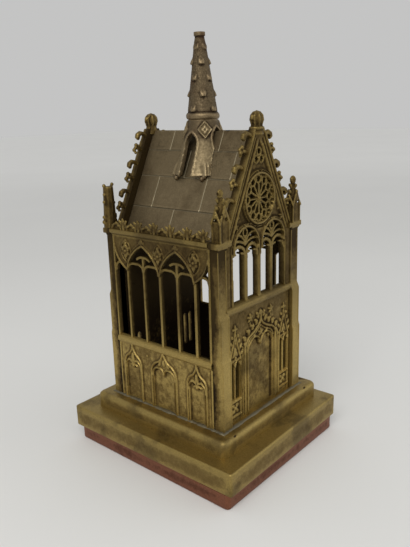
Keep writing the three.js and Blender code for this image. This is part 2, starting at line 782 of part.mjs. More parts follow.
// The curled leaf on which each leg ends.
function feet() {
  const bits = [];
  for (const sx of [-1, 1]) {
    for (const sy of [-1, 1]) {
      const leaf = new THREE.OctahedronGeometry(4, 0).scale(0.7, 0.9, 1.2);
      bits.push(leaf.translate(sx * 15.2, sy * 10.6, 192.6));
    }
  }
  return bits;
}

function makeFleche() {
  const skirt = new THREE.LatheGeometry(skirtProfile(), fleche.sides).rotateX(Math.PI / 2);
  const { opening, openingSpring, openingCrown } = fleche;
  const passages = [
    archedPassage(opening, openingSpring + 2, openingCrown + 3.6),
    archedPassage(opening, openingSpring, openingCrown).rotateZ(Math.PI / 2),
  ];
  const legs = cut(solidOf(skirt), passages).add(join([...medallions(), ...feet()]));
  const whole = cut(legs.add(join(spireSolids())), [roofWedge()]);
  const mesh = meshOf('spire', whole, finishes.spire);
  mesh.position.set(0, fleche.y, 0);
  return mesh;
}

// ---------------------------------------------------------------- assembly

// Stands a wall that was worked face on: outward becomes -Y, then it is turned about the chapel's middle.
function standing(mesh, inner, quarterTurns) {
  mesh.rotation.x = Math.PI / 2;
  mesh.position.y = -inner;
  const turned = new THREE.Group();
  turned.rotation.z = (Math.PI / 2) * quarterTurns;
  turned.add(mesh);
  return turned;
}

const reliquary = new THREE.Group();
reliquary.add(makeCopperPlate(), makeLowerStep(), makeUpperStep());

const body = new THREE.Group();
body.position.y = chapel.y;
body.add(standing(makeGableWall('front_gable_wall', false), gable.inner, 0));
body.add(standing(makeGableWall('back_gable_wall', true), gable.inner, 2));
body.add(standing(makeSideWall('left_arcade_wall'), side.inner, -1));
body.add(standing(makeSideWall('right_arcade_wall'), side.inner, 1));
body.add(makeRoofSlope('left_roof_slope', -1), makeRoofSlope('right_roof_slope', 1));
body.add(makeFleche());
reliquary.add(body);

export default reliquary;
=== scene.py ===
"""A cast brass reliquary in the form of a small Gothic chapel, finished around its fixed frame.

Every casting is worked face on, in millimetres, as a field of heights with openings cut through it,
and then stood up in its place. Leaves, crockets and finials are modelled in lumps that are fused.
"""

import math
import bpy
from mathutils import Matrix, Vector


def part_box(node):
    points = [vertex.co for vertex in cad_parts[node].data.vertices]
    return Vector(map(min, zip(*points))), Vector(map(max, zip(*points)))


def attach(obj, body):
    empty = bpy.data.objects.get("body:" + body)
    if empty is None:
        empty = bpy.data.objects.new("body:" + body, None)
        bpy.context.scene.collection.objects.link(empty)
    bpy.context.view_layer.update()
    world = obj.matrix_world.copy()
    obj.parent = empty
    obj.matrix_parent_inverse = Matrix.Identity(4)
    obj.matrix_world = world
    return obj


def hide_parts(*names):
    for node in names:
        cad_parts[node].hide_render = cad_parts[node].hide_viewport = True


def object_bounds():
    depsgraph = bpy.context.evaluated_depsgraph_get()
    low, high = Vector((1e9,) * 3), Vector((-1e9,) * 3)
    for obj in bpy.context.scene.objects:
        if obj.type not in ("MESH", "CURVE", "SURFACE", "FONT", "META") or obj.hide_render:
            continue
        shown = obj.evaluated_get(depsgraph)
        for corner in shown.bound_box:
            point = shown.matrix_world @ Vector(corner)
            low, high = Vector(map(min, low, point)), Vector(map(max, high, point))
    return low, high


bl_info = {
    "name": "Gothic Chapel Reliquary",
    "version": (1, 0, 0),
    "blender": (4, 5, 0),
    "location": "3D View > Sidebar > Reliquary",
    "description": "Builds the castings, finishes and studio of a brass chapel reliquary",
    "category": "Object",
}

import bmesh
import bpy
import numpy as np
from mathutils import Matrix, Vector, noise
from mathutils.geometry import delaunay_2d_cdt

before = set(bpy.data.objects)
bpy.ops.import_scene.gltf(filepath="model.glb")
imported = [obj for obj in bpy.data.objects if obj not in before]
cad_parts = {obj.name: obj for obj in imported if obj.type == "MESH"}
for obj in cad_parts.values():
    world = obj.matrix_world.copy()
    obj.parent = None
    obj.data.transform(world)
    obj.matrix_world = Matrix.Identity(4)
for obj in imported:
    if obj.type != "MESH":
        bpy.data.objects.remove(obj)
FRAME_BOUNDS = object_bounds()

MM = 0.001
FAR = 1e3
BODY = "root"


# ---------------------------------------------------------------- measures taken from the frame


def box_mm(node):
    """Lowest and highest corner of a piece of the frame, in millimetres."""
    low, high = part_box(node)
    return low / MM, high / MM


ROOF_LOW, ROOF_HIGH = box_mm("right_roof_slope")

CENTRE_Y = (ROOF_LOW.y + ROOF_HIGH.y) / 2
FOOT = box_mm("upper_step")[1].z
RIDGE = ROOF_HIGH.z
EAVE, ROOF_FOOT = 30.2, 153.5
ROOF_SLOPE = (RIDGE - ROOF_FOOT) / EAVE
GAP = 0.3
GABLE_INNER = (ROOF_HIGH.y - ROOF_LOW.y) / 2 + GAP
SIDE_INNER = box_mm("right_arcade_wall")[0].x
SPIRE_TOP = box_mm("spire")[1].z
SIDE_HALF = GABLE_INNER - GAP
HALF_X = 43.7
CORNICE_LOW = 150.6
CORNICE_TOP = 154.7


# ---------------------------------------------------------------- sizes and colours


def size(name, description, default, low=0.0, high=1.0):
    """A length in metres that the sidebar shows in the scene's units."""
    return bpy.props.FloatProperty(
        name=name, description=description, default=default,
        min=low, max=high, unit="LENGTH", precision=5,
    )


def share(name, description, default, high=1.0):
    """A plain factor."""
    return bpy.props.FloatProperty(name=name, description=description, default=default, min=0, max=high)


def angle(name, description, degrees):
    """An angle, kept in radians."""
    return bpy.props.FloatProperty(
        name=name, description=description, default=math.radians(degrees), subtype="ANGLE",
        min=-math.pi, max=math.pi,
    )


def tint(name, description, default):
    """A linear colour."""
    return bpy.props.FloatVectorProperty(
        name=name, description=description, default=default, size=3, min=0, max=1, subtype="COLOR",
    )


class ReliquaryCasting(bpy.types.PropertyGroup):
    """Sizes of the cast relief."""

    cell: size("Relief cell", "Distance between two points of a wall's relief", 0.44 * MM, 0.2 * MM, 2 * MM)
    lump: size("Ornament cell", "Fineness of the fused leaves and finials", 0.42 * MM, 0.2 * MM, 2 * MM)
    roll: size("Roll height", "How far a jamb roll stands out of its wall", 0.95 * MM, 0, 3 * MM)
    leaf: size("Leaf height", "How far the low leaves stand out of their wall", 1.1 * MM, 0, 3 * MM)
    sunk: size("Panel depth", "How deep the blind panels are sunk", 0.55 * MM, 0, 2 * MM)
    tracery: size("Tracery width", "Width of the thin tracery bars", 1.45 * MM, 0.5 * MM, 3 * MM)
    joint: size("Slab joint", "Width of an engraved joint of the roof", 0.5 * MM, 0.1 * MM, 2 * MM)
    grain: size("Spire grain", "Pitch of the granulated ground of the spire", 1.25 * MM, 0.5 * MM, 4 * MM)
    lean: angle("Spire lean", "How far the top of the spire has come back from upright", 1.2)


class ReliquaryFinish(bpy.types.PropertyGroup):
    """Colours of the metals and their tarnish."""

    gilt: tint("Rubbed brass", "Raised parts that hands have kept bright", (0.43, 0.31, 0.10))
    brass: tint("Brass ground", "The plain ground of the walls", (0.205, 0.137, 0.044))
    # This brown is also painted inside the chapel as painted shade, through the worn attribute.
    brown: tint("Brown tarnish", "Hollows and sheltered places", (0.030, 0.018, 0.008))
    slate: tint("Roof brass", "The grey-brown sheet of the roof", (0.185, 0.140, 0.076))
    scratch: tint("Bright scratch", "Engraved joints of the roof", (0.52, 0.45, 0.30))
    stone: tint("Spire brass", "Worn grains of the spire", (0.19, 0.14, 0.078))
    copper: tint("Copper", "The bottom plate", (0.16, 0.064, 0.036))
    residue: tint("Grey residue", "Old flux and dust in the corners", (0.15, 0.14, 0.105))


class ReliquaryStudio(bpy.types.PropertyGroup):
    """Camera, floor and light."""

    azimuth: angle("Azimuth", "Turn of the camera about the upright", -49.894)
    elevation: angle("Elevation", "Height of the camera above the level", 15.474)
    roll: angle("Roll", "Tilt of the camera about its own line of sight", -1.611)
    distance: size("Distance", "From the camera to the point it looks at", 0.39743, 0.1, 5.0)
    aim: size("Aim height", "Height of the point it looks at", 0.12024, 0.0, 1.0)
    lens: bpy.props.FloatProperty(name="Lens", description="Focal length on a 36 mm frame",
                                  default=38.471, min=10, max=200, unit="CAMERA")
    floor: tint("Floor", "Pale grey of floor and backdrop", (0.80, 0.80, 0.78))
    sky: share("Room light", "Strength of the even light of the room", 0.56, 5)
    key: share("Window light", "Power of the large soft light, in watts", 6.2, 50)


# ---------------------------------------------------------------- lines on a wall


def arc(x, y, radius, start, end, steps=10):
    """Points on a part of a circle, angles in degrees."""
    turns = np.radians(np.linspace(start, end, steps + 1))
    return [(x + radius * math.cos(t), y + radius * math.sin(t)) for t in turns]


def bow(x0, y0, x1, y1, bulge, steps=6):
    """A line that swells to its left by a share of its length."""
    points = []
    for t in np.linspace(0, 1, steps + 1):
        swell = 4 * bulge * t * (1 - t)
        points.append((x0 + (x1 - x0) * t - (y1 - y0) * swell, y0 + (y1 - y0) * t + (x1 - x0) * swell))
    return points


def cos_sin(turn):
    """Cosine and sine of an angle in degrees."""
    return math.cos(math.radians(turn)), math.sin(math.radians(turn))


def upright(x, low, high):
    return [(x, low), (x, high)]


def mirrored(points):
    return [(-x, y) for x, y in reversed(points)]


def both(points):
    """A left half completed with its mirror image."""
    return points + mirrored(points)[1:]


def shifted(points, x, y=0.0):
    return [(px + x, py + y) for px, py in points]


def flipped(points, hand):
    return [(hand * x, y) for x, y in points]


def pointed_head(half, foot, spring, crown, bulge=0.16):
    return both([(-half, foot)] + bow(-half, spring, 0, crown, bulge))


def ogee_head(half, foot, spring, apex):
    """The sides bow outward, then sweep up into a point."""
    turn_x = half * 0.42
    turn_y = spring + (apex - spring) * 0.48
    lower = bow(-half, spring, -turn_x, turn_y, 0.16)
    upper = bow(-turn_x, turn_y, 0, apex, -0.1)[1:]
    return both([(-half, foot)] + lower + upper)


def lobed_head(half, foot, spring, top, pendant, share_x=0.47):
    """Two round lobes that meet in a hanging point."""
    lobe = half * share_x
    outer = bow(-half, spring, -lobe, top, 0.2)
    inner = bow(-lobe, top, 0, pendant, 0.2)[1:]
    return both([(-half, foot)] + outer + inner)


def rectangle(x0, y0, x1, y1):
    return [(x0, y0), (x1, y0), (x1, y1), (x0, y1)]


# ---------------------------------------------------------------- fields on a wall


def distance_to_line(x, y, points, closed=False):
    ends = points[1:] + points[:1] if closed else points[1:]
    best = np.full(x.shape, FAR)
    for (ax, ay), (bx, by) in zip(points, ends):
        dx, dy = bx - ax, by - ay
        length = dx * dx + dy * dy
        if length < 1e-12:
            continue
        t = np.clip(((x - ax) * dx + (y - ay) * dy) / length, 0, 1)
        best = np.minimum(best, np.hypot(x - ax - t * dx, y - ay - t * dy))
    return best


def depth_inside(x, y, points):
    """Distance to an outline, positive inside it."""
    inside = np.zeros(x.shape, bool)
    for (ax, ay), (bx, by) in zip(points, points[1:] + points[:1]):
        if ay == by:
            continue
        crosses = (ay > y) != (by > y)
        inside ^= crosses & (x < (bx - ax) * (y - ay) / (by - ay) + ax)
    distance = distance_to_line(x, y, points, closed=True)
    return np.where(inside, distance, -distance)


def ease(t):
    t = np.clip(t, 0, 1)
    return t * t * (3 - 2 * t)


def scatter(i, j, seed):
    """Repeatable numbers from 0 to 1 for whole-numbered cells."""
    value = np.sin(i * 127.1 + j * 311.7 + seed * 74.7) * 43758.5453
    return value - np.floor(value)


def grains(u, v, pitch, period=None):
    """Height of close-set round grains, from 0 between them to 1 on top."""
    gu, gv = u / pitch, v / pitch
    cell_u, cell_v = np.floor(gu), np.floor(gv)
    best = np.full(u.shape, 9.0)
    for du in (-1, 0, 1):
        for dv in (-1, 0, 1):
            cu, cv = cell_u + du, cell_v + dv
            key = np.mod(cu, period) if period else cu
            pu = cu + 0.15 + 0.7 * scatter(key, cv, 1)
            pv = cv + 0.15 + 0.7 * scatter(key, cv, 2)
            best = np.minimum(best, np.hypot(gu - pu, gv - pv))
    return np.clip(1 - best * 1.5, 0, 1)


class Relief:
    """A casting seen face on: its face above every point, and how far each point is inside the metal."""

    def __init__(self, left, right, low, high, ground, cell=None):
        self.cell = cell or bpy.context.scene.reliquary_casting.cell / MM
        columns = max(2, round((right - left) / self.cell))
        rows = max(2, round((high - low) / self.cell))
        self.left, self.low = left, low
        self.step_x, self.step_y = (right - left) / columns, (high - low) / rows
        xs = np.linspace(left, right, columns + 1)
        ys = np.linspace(low, high, rows + 1)
        self.x, self.y = np.meshgrid(xs, ys)
        self.face = np.full(self.x.shape, float(ground))
        self.metal = np.full(self.x.shape, FAR)
        self.mark = np.zeros(self.x.shape)
        self.ground = float(ground)
        self.back = 0.0

    def window(self, points, reach):
        """The part of the grid that lies within reach of some points."""
        xs, ys = zip(*points)
        c0 = max(0, math.floor((min(xs) - reach - self.left) / self.step_x))
        c1 = math.ceil((max(xs) + reach - self.left) / self.step_x) + 1
        r0 = max(0, math.floor((min(ys) - reach - self.low) / self.step_y))
        r1 = math.ceil((max(ys) + reach - self.low) / self.step_y) + 1
        return slice(r0, max(r0, r1)), slice(c0, max(c0, c1))

    def keep(self, outline):
        self.metal = np.minimum(self.metal, depth_inside(self.x, self.y, outline))

    def cut(self, outline):
        w = self.window(outline, 4)
        self.metal[w] = np.minimum(self.metal[w], -depth_inside(self.x[w], self.y[w], outline))

    def bar(self, points, width, crown=0.8, base=None, closed=False):
        """Metal along a line, also across an opening, with a rounded face."""
        base = self.ground - 0.9 if base is None else base
        w = self.window(points, width)
        away = distance_to_line(self.x[w], self.y[w], points, closed)
        room = width / 2 - away
        rounded = base + crown * np.sqrt(np.clip(1 - (2 * away / width) ** 2, 0, 1))
        fresh = room > self.metal[w]
        over = np.where(room > 0, np.maximum(self.face[w], rounded), self.face[w])
        self.face[w] = np.where(fresh, rounded, over)
        self.metal[w] = np.maximum(self.metal[w], room)

    def roll(self, points, width, height=None, on=None, closed=False):
        """A half-round moulding laid on the wall."""
        height = bpy.context.scene.reliquary_casting.roll / MM if height is None else height
        on = self.ground if on is None else on
        w = self.window(points, width)
        away = distance_to_line(self.x[w], self.y[w], points, closed)
        rounded = on + height * np.sqrt(np.clip(1 - (2 * away / width) ** 2, 0, 1))
        self.face[w] = np.where(away < width / 2, np.maximum(self.face[w], rounded), self.face[w])

    def groove(self, points, width, depth, closed=False, mark=0.0):
        w = self.window(points, width)
        away = distance_to_line(self.x[w], self.y[w], points, closed)
        cut = ease(1 - 2 * away / width)
        self.face[w] -= depth * cut
        self.mark[w] = np.maximum(self.mark[w], mark * cut)

    def sink(self, outline, depth, slope=0.5):
        w = self.window(outline, 1)
        self.face[w] -= depth * ease(depth_inside(self.x[w], self.y[w], outline) / slope)

    def local(self, x, y, turn, reach):
        """A part of the grid with its distances along and across a direction from (x, y)."""
        w = self.window([(x, y)], reach)
        cos, sin = cos_sin(turn)
        dx, dy = self.x[w] - x, self.y[w] - y
        return w, dx * cos + dy * sin, dy * cos - dx * sin

    def boss(self, x, y, wide, tall, height, turn=0, on=None):
        """A smooth round or oval swelling."""
        on = self.ground if on is None else on
        w, along, across = self.local(x, y, turn, max(wide, tall) + 1)
        swell = np.clip(1 - (2 * along / wide) ** 2 - (2 * across / tall) ** 2, 0, 1)
        rounded = np.maximum(self.face[w], on + height * np.sqrt(swell))
        self.face[w] = np.where(swell > 0, rounded, self.face[w])

    def leaf(self, x, y, length, width, turn, height=None, lobes=2.5, on=None, curl=0.0):
        """A veined leaf that grows from (x, y) in the direction of turn, with lobes along its edges."""
        height = bpy.context.scene.reliquary_casting.leaf / MM if height is None else height
        on = self.ground if on is None else on
        w, along, across = self.local(x, y, turn, length + width)
        t = np.clip(along / length, 0, 1)
        across = across - curl * length * t * t
        edge = np.sin(math.pi * t ** 0.75) ** 0.7 * (0.8 + 0.2 * np.cos(2 * math.pi * lobes * t))
        half = np.maximum(width / 2 * edge, 1e-6)
        body = np.sqrt(np.clip(1 - (across / half) ** 2, 0, 1)) * (0.45 + 0.55 * np.sin(math.pi * t))
        vein = 1 - 0.4 * np.exp(-((across / (0.09 * width)) ** 2))
        inside = (along > 0) & (along < length) & (np.abs(across) < half)
        self.face[w] = np.where(inside, np.maximum(self.face[w], on + height * body * vein), self.face[w])

    def flower(self, x, y, radius, petals, height, turn=0.0, on=None):
        """Petals round a button."""
        for i in range(petals):
            self.leaf(x, y, radius, radius * 0.78, turn + 360 / petals * i, height, 1, on)
        self.boss(x, y, radius * 0.6, radius * 0.6, height * 1.1, 0, on)

    def roughen(self, amount, pitch, seed=0):
        """The uneven skin of a sand casting."""
        self.face += amount * (grains(self.x + 31 * seed, self.y, pitch) - 0.35)


def cast(relief, place, wrapped=False, flat_back=True):
    """Vertices and faces of a relief, with the sides of its openings and its back."""
    metal = np.where(np.abs(relief.metal) < 1e-4, 1e-4, relief.metal)
    rows, columns = metal.shape
    ident = np.arange(rows * columns).reshape(rows, columns)
    if wrapped:
        ident[:, -1] = ident[:, 0]
    inside = metal > 0
    used = np.unique(ident[inside])
    index = np.full(rows * columns, -1)
    index[used] = np.arange(len(used))
    points = [column.ravel()[used] for column in (relief.x, relief.y, relief.face, relief.mark)]
    corners = [(slice(0, -1), slice(0, -1)), (slice(0, -1), slice(1, None)),
               (slice(1, None), slice(1, None)), (slice(1, None), slice(0, -1))]
    corner_in = [inside[c] for c in corners]
    count = sum(c.astype(int) for c in corner_in)
    ids = np.stack([ident[c] for c in corners], axis=-1)
    quads = index[ids[count == 4]]
    flat = [field.ravel() for field in (relief.x, relief.y, relief.face, relief.mark, metal)]
    added, crossing, odd_faces = [], {}, []

    def edge_point(a, b, key):
        if key not in crossing:
            if flat[4][a] < 0:
                a, b = b, a
            t = min(0.96, max(0.04, flat[4][a] / (flat[4][a] - flat[4][b])))
            added.append([flat[0][a] + t * (flat[0][b] - flat[0][a]),
                          flat[1][a] + t * (flat[1][b] - flat[1][a]), flat[2][a], flat[3][a]])
            crossing[key] = len(used) + len(added) - 1
        return crossing[key]

    raw = np.arange(rows * columns).reshape(rows, columns)
    for r, c in zip(*np.nonzero((count > 0) & (count < 4))):
        cell = [(r, c), (r, c + 1), (r + 1, c + 1), (r + 1, c)]
        ring = []
        for here, after in zip(cell, cell[1:] + cell[:1]):
            if inside[here]:
                ring.append(int(index[ident[here]]))
            if inside[here] != inside[after]:
                key = tuple(sorted((int(ident[here]), int(ident[after]))))
                ring.append(edge_point(raw[here], raw[after], key))
        odd_faces.append(ring)
    if added:
        extra = np.array(added).T
        points = [np.concatenate([old, new]) for old, new in zip(points, extra)]
    x, y, face, mark = points
    total = len(x)
    front = [list(map(int, q)) for q in quads] + odd_faces
    directed = [np.stack([quads[:, k], quads[:, (k + 1) % 4]], axis=1) for k in range(4)]
    loose = [(ring[k], ring[(k + 1) % len(ring)]) for ring in odd_faces for k in range(len(ring))]
    directed = np.concatenate(directed + ([np.array(loose)] if loose else []))
    keys = np.minimum(directed[:, 0], directed[:, 1]) * total + np.maximum(directed[:, 0], directed[:, 1])
    _, first, times = np.unique(keys, return_index=True, return_counts=True)
    border = directed[first[times == 1]]
    front_at = place(x, y, face)
    back_level = np.full(total, relief.back)
    if not flat_back:
        back_at = place(x, y, back_level)
        faces = front + [[v + total for v in reversed(f)] for f in front]
        faces += [[int(b), int(a), int(a) + total, int(b) + total] for a, b in border]
        return np.concatenate([front_at, back_at]), faces, np.concatenate([mark, mark * 0])
    rim = np.unique(border)
    where = {int(v): i for i, v in enumerate(rim)}
    edges = [(where[int(a)], where[int(b)]) for a, b in border]
    flat_points = [Vector((float(x[v]), float(y[v]))) for v in rim]
    verts, _, tris, origins, _, _ = delaunay_2d_cdt(flat_points, edges, [], 0, 1e-6)
    back_ids = [total + origin[0] if origin else None for origin in origins]
    back_x, back_y = list(x[rim]), list(y[rim])
    for i, vert in enumerate(verts):
        if back_ids[i] is None:
            back_ids[i] = total + len(back_x)
            back_x.append(vert.x)
            back_y.append(vert.y)
    back_faces = []
    for tri in tris:
        cx = sum(verts[i].x for i in tri) / 3
        cy = sum(verts[i].y for i in tri) / 3
        column = min(columns - 1, max(0, round((cx - relief.left) / relief.step_x)))
        row = min(rows - 1, max(0, round((cy - relief.low) / relief.step_y)))
        if metal[row, column] > -0.3 * relief.cell:
            back_faces.append([back_ids[i] for i in reversed(tri)])
    sides = [[int(b), int(a), total + where[int(a)], total + where[int(b)]] for a, b in border]
    back_at = place(np.array(back_x), np.array(back_y), np.full(len(back_x), relief.back))
    marks = np.concatenate([mark, np.zeros(len(back_x))])
    return np.concatenate([front_at, back_at]), front + sides + back_faces, marks


# ---------------------------------------------------------------- lumps, limbs and how they are fused


def unit_ball(detail):
    mesh = bmesh.new()
    bmesh.ops.create_icosphere(mesh, subdivisions=detail, radius=1.0)
    mesh.verts.ensure_lookup_table()
    verts = np.array([v.co for v in mesh.verts])
    faces = [[v.index for v in f.verts] for f in mesh.faces]
    mesh.free()
    return verts, faces


BALL = unit_ball(2)


def ball(x, y, z, rx, ry=None, rz=None, turn=0.0):
    """An egg of metal; turn is its tilt in the plane of the wall, in degrees."""
    ry = rx if ry is None else ry
    rz = rx if rz is None else rz
    verts = BALL[0] * (rx, ry, rz)
    cos, sin = cos_sin(turn)
    turned = np.stack([verts[:, 0] * cos - verts[:, 1] * sin, verts[:, 0] * sin + verts[:, 1] * cos,
                       verts[:, 2]], axis=-1)
    return turned + (x, y, z), BALL[1]


def limb(points, radii, sides=10, flat=1.0):
    """A tapering rod along a line of points, flattened front to back."""
    points = [Vector(p) for p in points]
    verts, faces = [], []
    for i, point in enumerate(points):
        ahead = points[min(i + 1, len(points) - 1)] - points[max(i - 1, 0)]
        turn = ahead.to_track_quat("Z", "Y").to_matrix()
        for k in range(sides):
            a = 2 * math.pi * k / sides
            offset = turn @ Vector((math.cos(a), math.sin(a), 0)) * radii[i]
            verts.append(point + Vector((offset.x, offset.y, offset.z * flat)))
    for i in range(len(points) - 1):
        for k in range(sides):
            a, b = i * sides + k, i * sides + (k + 1) % sides
            faces.append([a, b, b + sides, a + sides])
    faces.append(list(range(sides))[::-1])
    faces.append([(len(points) - 1) * sides + k for k in range(sides)])
    return np.array(verts), faces


def prism(outline, low, high):
    """A flat figure given thickness outward from the wall."""
    signed = sum(x0 * y1 - x1 * y0 for (x0, y0), (x1, y1) in zip(outline, outline[1:] + outline[:1]))
    points = outline if signed > 0 else outline[::-1]
    count = len(points)
    verts = [(x, y, low) for x, y in points] + [(x, y, high) for x, y in points]
    faces = [list(range(count))[::-1], list(range(count, 2 * count))]
    faces += [[k, (k + 1) % count, (k + 1) % count + count, k + count] for k in range(count)]
    return np.array(verts, float), faces


def moulding(section, x0, x1):
    """A section of (outward, height) points drawn along the wall."""
    verts, faces = prism([(h, y) for h, y in section], x0, x1)
    return np.stack([verts[:, 2], verts[:, 1], verts[:, 0]], axis=-1), [f[::-1] for f in faces]


def block(x0, x1, y0, y1, z0, z1):
    return prism(rectangle(min(x0, x1), y0, max(x0, x1), y1), z0, z1)


def joined(parts):
    """Several shells as one list of vertices and faces."""
    verts, faces, start = [], [], 0
    for part_verts, part_faces in parts:
        verts.append(np.asarray(part_verts, float))
        faces += [[v + start for v in face] for face in part_faces]
        start += len(part_verts)
    return np.concatenate(verts), faces


def fused(parts, cell=None, smooth=2):
    """Lumps melted into one skin, as wax is before it is cast."""
    verts, faces = joined(parts)
    mesh = bpy.data.meshes.new("wax")
    mesh.from_pydata([tuple(v) for v in verts], [], faces)
    wax = bpy.data.objects.new("wax", mesh)
    bpy.context.scene.collection.objects.link(wax)
    melt = wax.modifiers.new("Melt", "REMESH")
    melt.mode = "VOXEL"
    melt.voxel_size = cell or bpy.context.scene.reliquary_casting.lump / MM
    even = wax.modifiers.new("Even", "SMOOTH")
    even.factor = 0.5
    even.iterations = smooth
    done = wax.evaluated_get(bpy.context.evaluated_depsgraph_get()).to_mesh()
    out = np.zeros(len(done.vertices) * 3)
    done.vertices.foreach_get("co", out)
    result = out.reshape(-1, 3).copy(), [list(p.vertices) for p in done.polygons]
    bpy.data.objects.remove(wax)
    bpy.data.meshes.remove(mesh)
    return result


# ---------------------------------------------------------------- standing a casting in its place


def standing(inner, quarter_turns):
    """Where a point of a wall stands: along the wall, up, and out from its inner face."""
    turn = math.pi / 2 * quarter_turns
    cos, sin = round(math.cos(turn)), round(math.sin(turn))

    def place(x, y, out):
        reach = -(inner + out)
        return np.stack([x * cos - reach * sin, CENTRE_Y + x * sin + reach * cos, y], axis=-1)

    return place


def stood(shell, place):
    verts, faces = shell
    return place(verts[:, 0], verts[:, 1], verts[:, 2]), faces


PAINTED_INSIDE_SHADE = 2.2  # how much darker the inside of the chapel is painted, as painted shade


def rub(mesh, passes=7, depth=0.22):
    """Marks how far each point stands proud of its surroundings, from -1 in a hollow to 1 on a ridge, and
    paints shade inside the chapel by pushing its points far below -1.
    """
    count = len(mesh.vertices)
    co = np.zeros(count * 3)
    mesh.vertices.foreach_get("co", co)
    co = co.reshape(-1, 3) / MM
    normal = np.zeros(count * 3, np.float32)
    mesh.vertex_normals.foreach_get("vector", normal)
    pairs = np.zeros(len(mesh.edges) * 2, np.int32)
    mesh.edges.foreach_get("vertices", pairs)
    a, b = pairs.reshape(-1, 2).T
    ends, others = np.concatenate([a, b]), np.concatenate([b, a])
    near = np.maximum(np.bincount(ends, minlength=count), 1)
    even = co.copy()
    for _ in range(passes):
        even = np.stack([np.bincount(ends, even[others, k], count) / near for k in range(3)], axis=-1)
    proud = np.einsum("ij,ij->i", co - even, normal.reshape(-1, 3).astype(float)) / depth
    for _ in range(2):
        proud = 0.5 * proud + 0.5 * np.bincount(ends, proud[others], count) / near
    x, y, z = co.T
    along, across = np.abs(y - CENTRE_Y), np.abs(x)
    # The inside of the chapel and the inner faces of its walls get painted shade: their mark is pushed far
    # below -1, to the darkest hollow colour.
    room = (across < SIDE_INNER + 0.6) & (along < GABLE_INNER + 0.6) & (z < RIDGE - ROOF_SLOPE * across - 0.5)
    inner_face = (np.abs(along - GABLE_INNER) < 0.2) | (np.abs(across - SIDE_INNER) < 0.2)
    proud = np.clip(proud, -1, 1) - PAINTED_INSIDE_SHADE * ((room | inner_face) & (z > FOOT - 1))
    # The worn attribute holds both the rubbed relief and this painted shade inside the chapel.
    worn = mesh.attributes.new("worn", "FLOAT", "POINT")
    worn.data.foreach_set("value", proud.astype(np.float32))


def piece(name, shells, slot, *nodes, weld=False, sharp=38):
    """One casting made of its shells; it stands for the pieces of the frame that are named."""
    marks = np.concatenate([s[2] if len(s) > 2 else np.zeros(len(s[0])) for s in shells])
    verts, faces = joined([(s[0], s[1]) for s in shells])
    mesh = bpy.data.meshes.new(name)
    mesh.from_pydata([tuple(v) for v in verts * MM], [], faces)
    mark = mesh.attributes.new("mark", "FLOAT", "POINT")
    mark.data.foreach_set("value", marks.astype(np.float32))
    if weld:
        soft = bmesh.new()
        soft.from_mesh(mesh)
        bmesh.ops.remove_doubles(soft, verts=soft.verts, dist=0.02 * MM)
        soft.to_mesh(mesh)
        soft.free()
    mesh.validate()
    mesh.update()
    mesh.shade_smooth()
    mesh.set_sharp_from_angle(angle=math.radians(sharp))
    rub(mesh)
    obj = bpy.data.objects.new(name, mesh)
    bpy.context.scene.collection.objects.link(obj)
    mesh.materials.append(bpy.data.materials[slot + "_finish"])
    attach(obj, BODY)
    if nodes:
        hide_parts(*nodes)
    return obj


# ---------------------------------------------------------------- finishes


class Wiring:
    """Short words for adding and joining shader nodes."""

    def __init__(self, tree):
        self.tree = tree

    def add(self, kind, values=None, **settings):
        node = self.tree.nodes.new(kind)
        for key, value in settings.items():
            setattr(node, key, value)
        for key, value in (values or {}).items():
            self.feed(node.inputs[key], value)
        return node

    def feed(self, socket, value):
        if isinstance(value, bpy.types.NodeSocket):
            self.tree.links.new(value, socket)
        elif socket.type == "RGBA" and len(value) == 3:
            socket.default_value = (*value, 1)
        else:
            socket.default_value = value

    def maths(self, operation, a, b=0.0, clamp=False):
        node = self.add("ShaderNodeMath", {0: a, 1: b}, operation=operation, use_clamp=clamp)
        return node.outputs[0]

    def blend(self, factor, a, b, kind="MIX"):
        node = self.add("ShaderNodeMix", data_type="RGBA", blend_type=kind)
        self.feed(node.inputs["Factor"], factor)
        self.feed(node.inputs[6], a)
        self.feed(node.inputs[7], b)
        return node.outputs[2]

    def span(self, value, low, high, to_low=0.0, to_high=1.0):
        values = {"Value": value, "From Min": low, "From Max": high, "To Min": to_low, "To Max": to_high}
        return self.add("ShaderNodeMapRange", values, interpolation_type="SMOOTHSTEP").outputs[0]

    def cloud(self, place, scale, detail=3.0, rough=0.55):
        node = self.add("ShaderNodeTexNoise", {"Vector": place, "Scale": scale, "Detail": detail,
                                                "Roughness": rough})
        return node.outputs[0]


def node_group(name, inputs, outputs, build):
    """A shader node group with named sockets, built once."""
    group = bpy.data.node_groups.new(name, "ShaderNodeTree")
    for socket, (kind, default) in inputs.items():
        made = group.interface.new_socket(socket, in_out="INPUT", socket_type=kind)
        if default is not None:
            made.default_value = default
    for socket, kind in outputs.items():
        group.interface.new_socket(socket, in_out="OUTPUT", socket_type=kind)
    w = Wiring(group)
    source = w.add("NodeGroupInput")
    sink = w.add("NodeGroupOutput")
    for socket, value in build(w, source.outputs).items():
        w.feed(sink.inputs[socket], value)
    return group


FLOAT, COLOUR, VECTOR = "NodeSocketFloat", "NodeSocketColor", "NodeSocketVector"


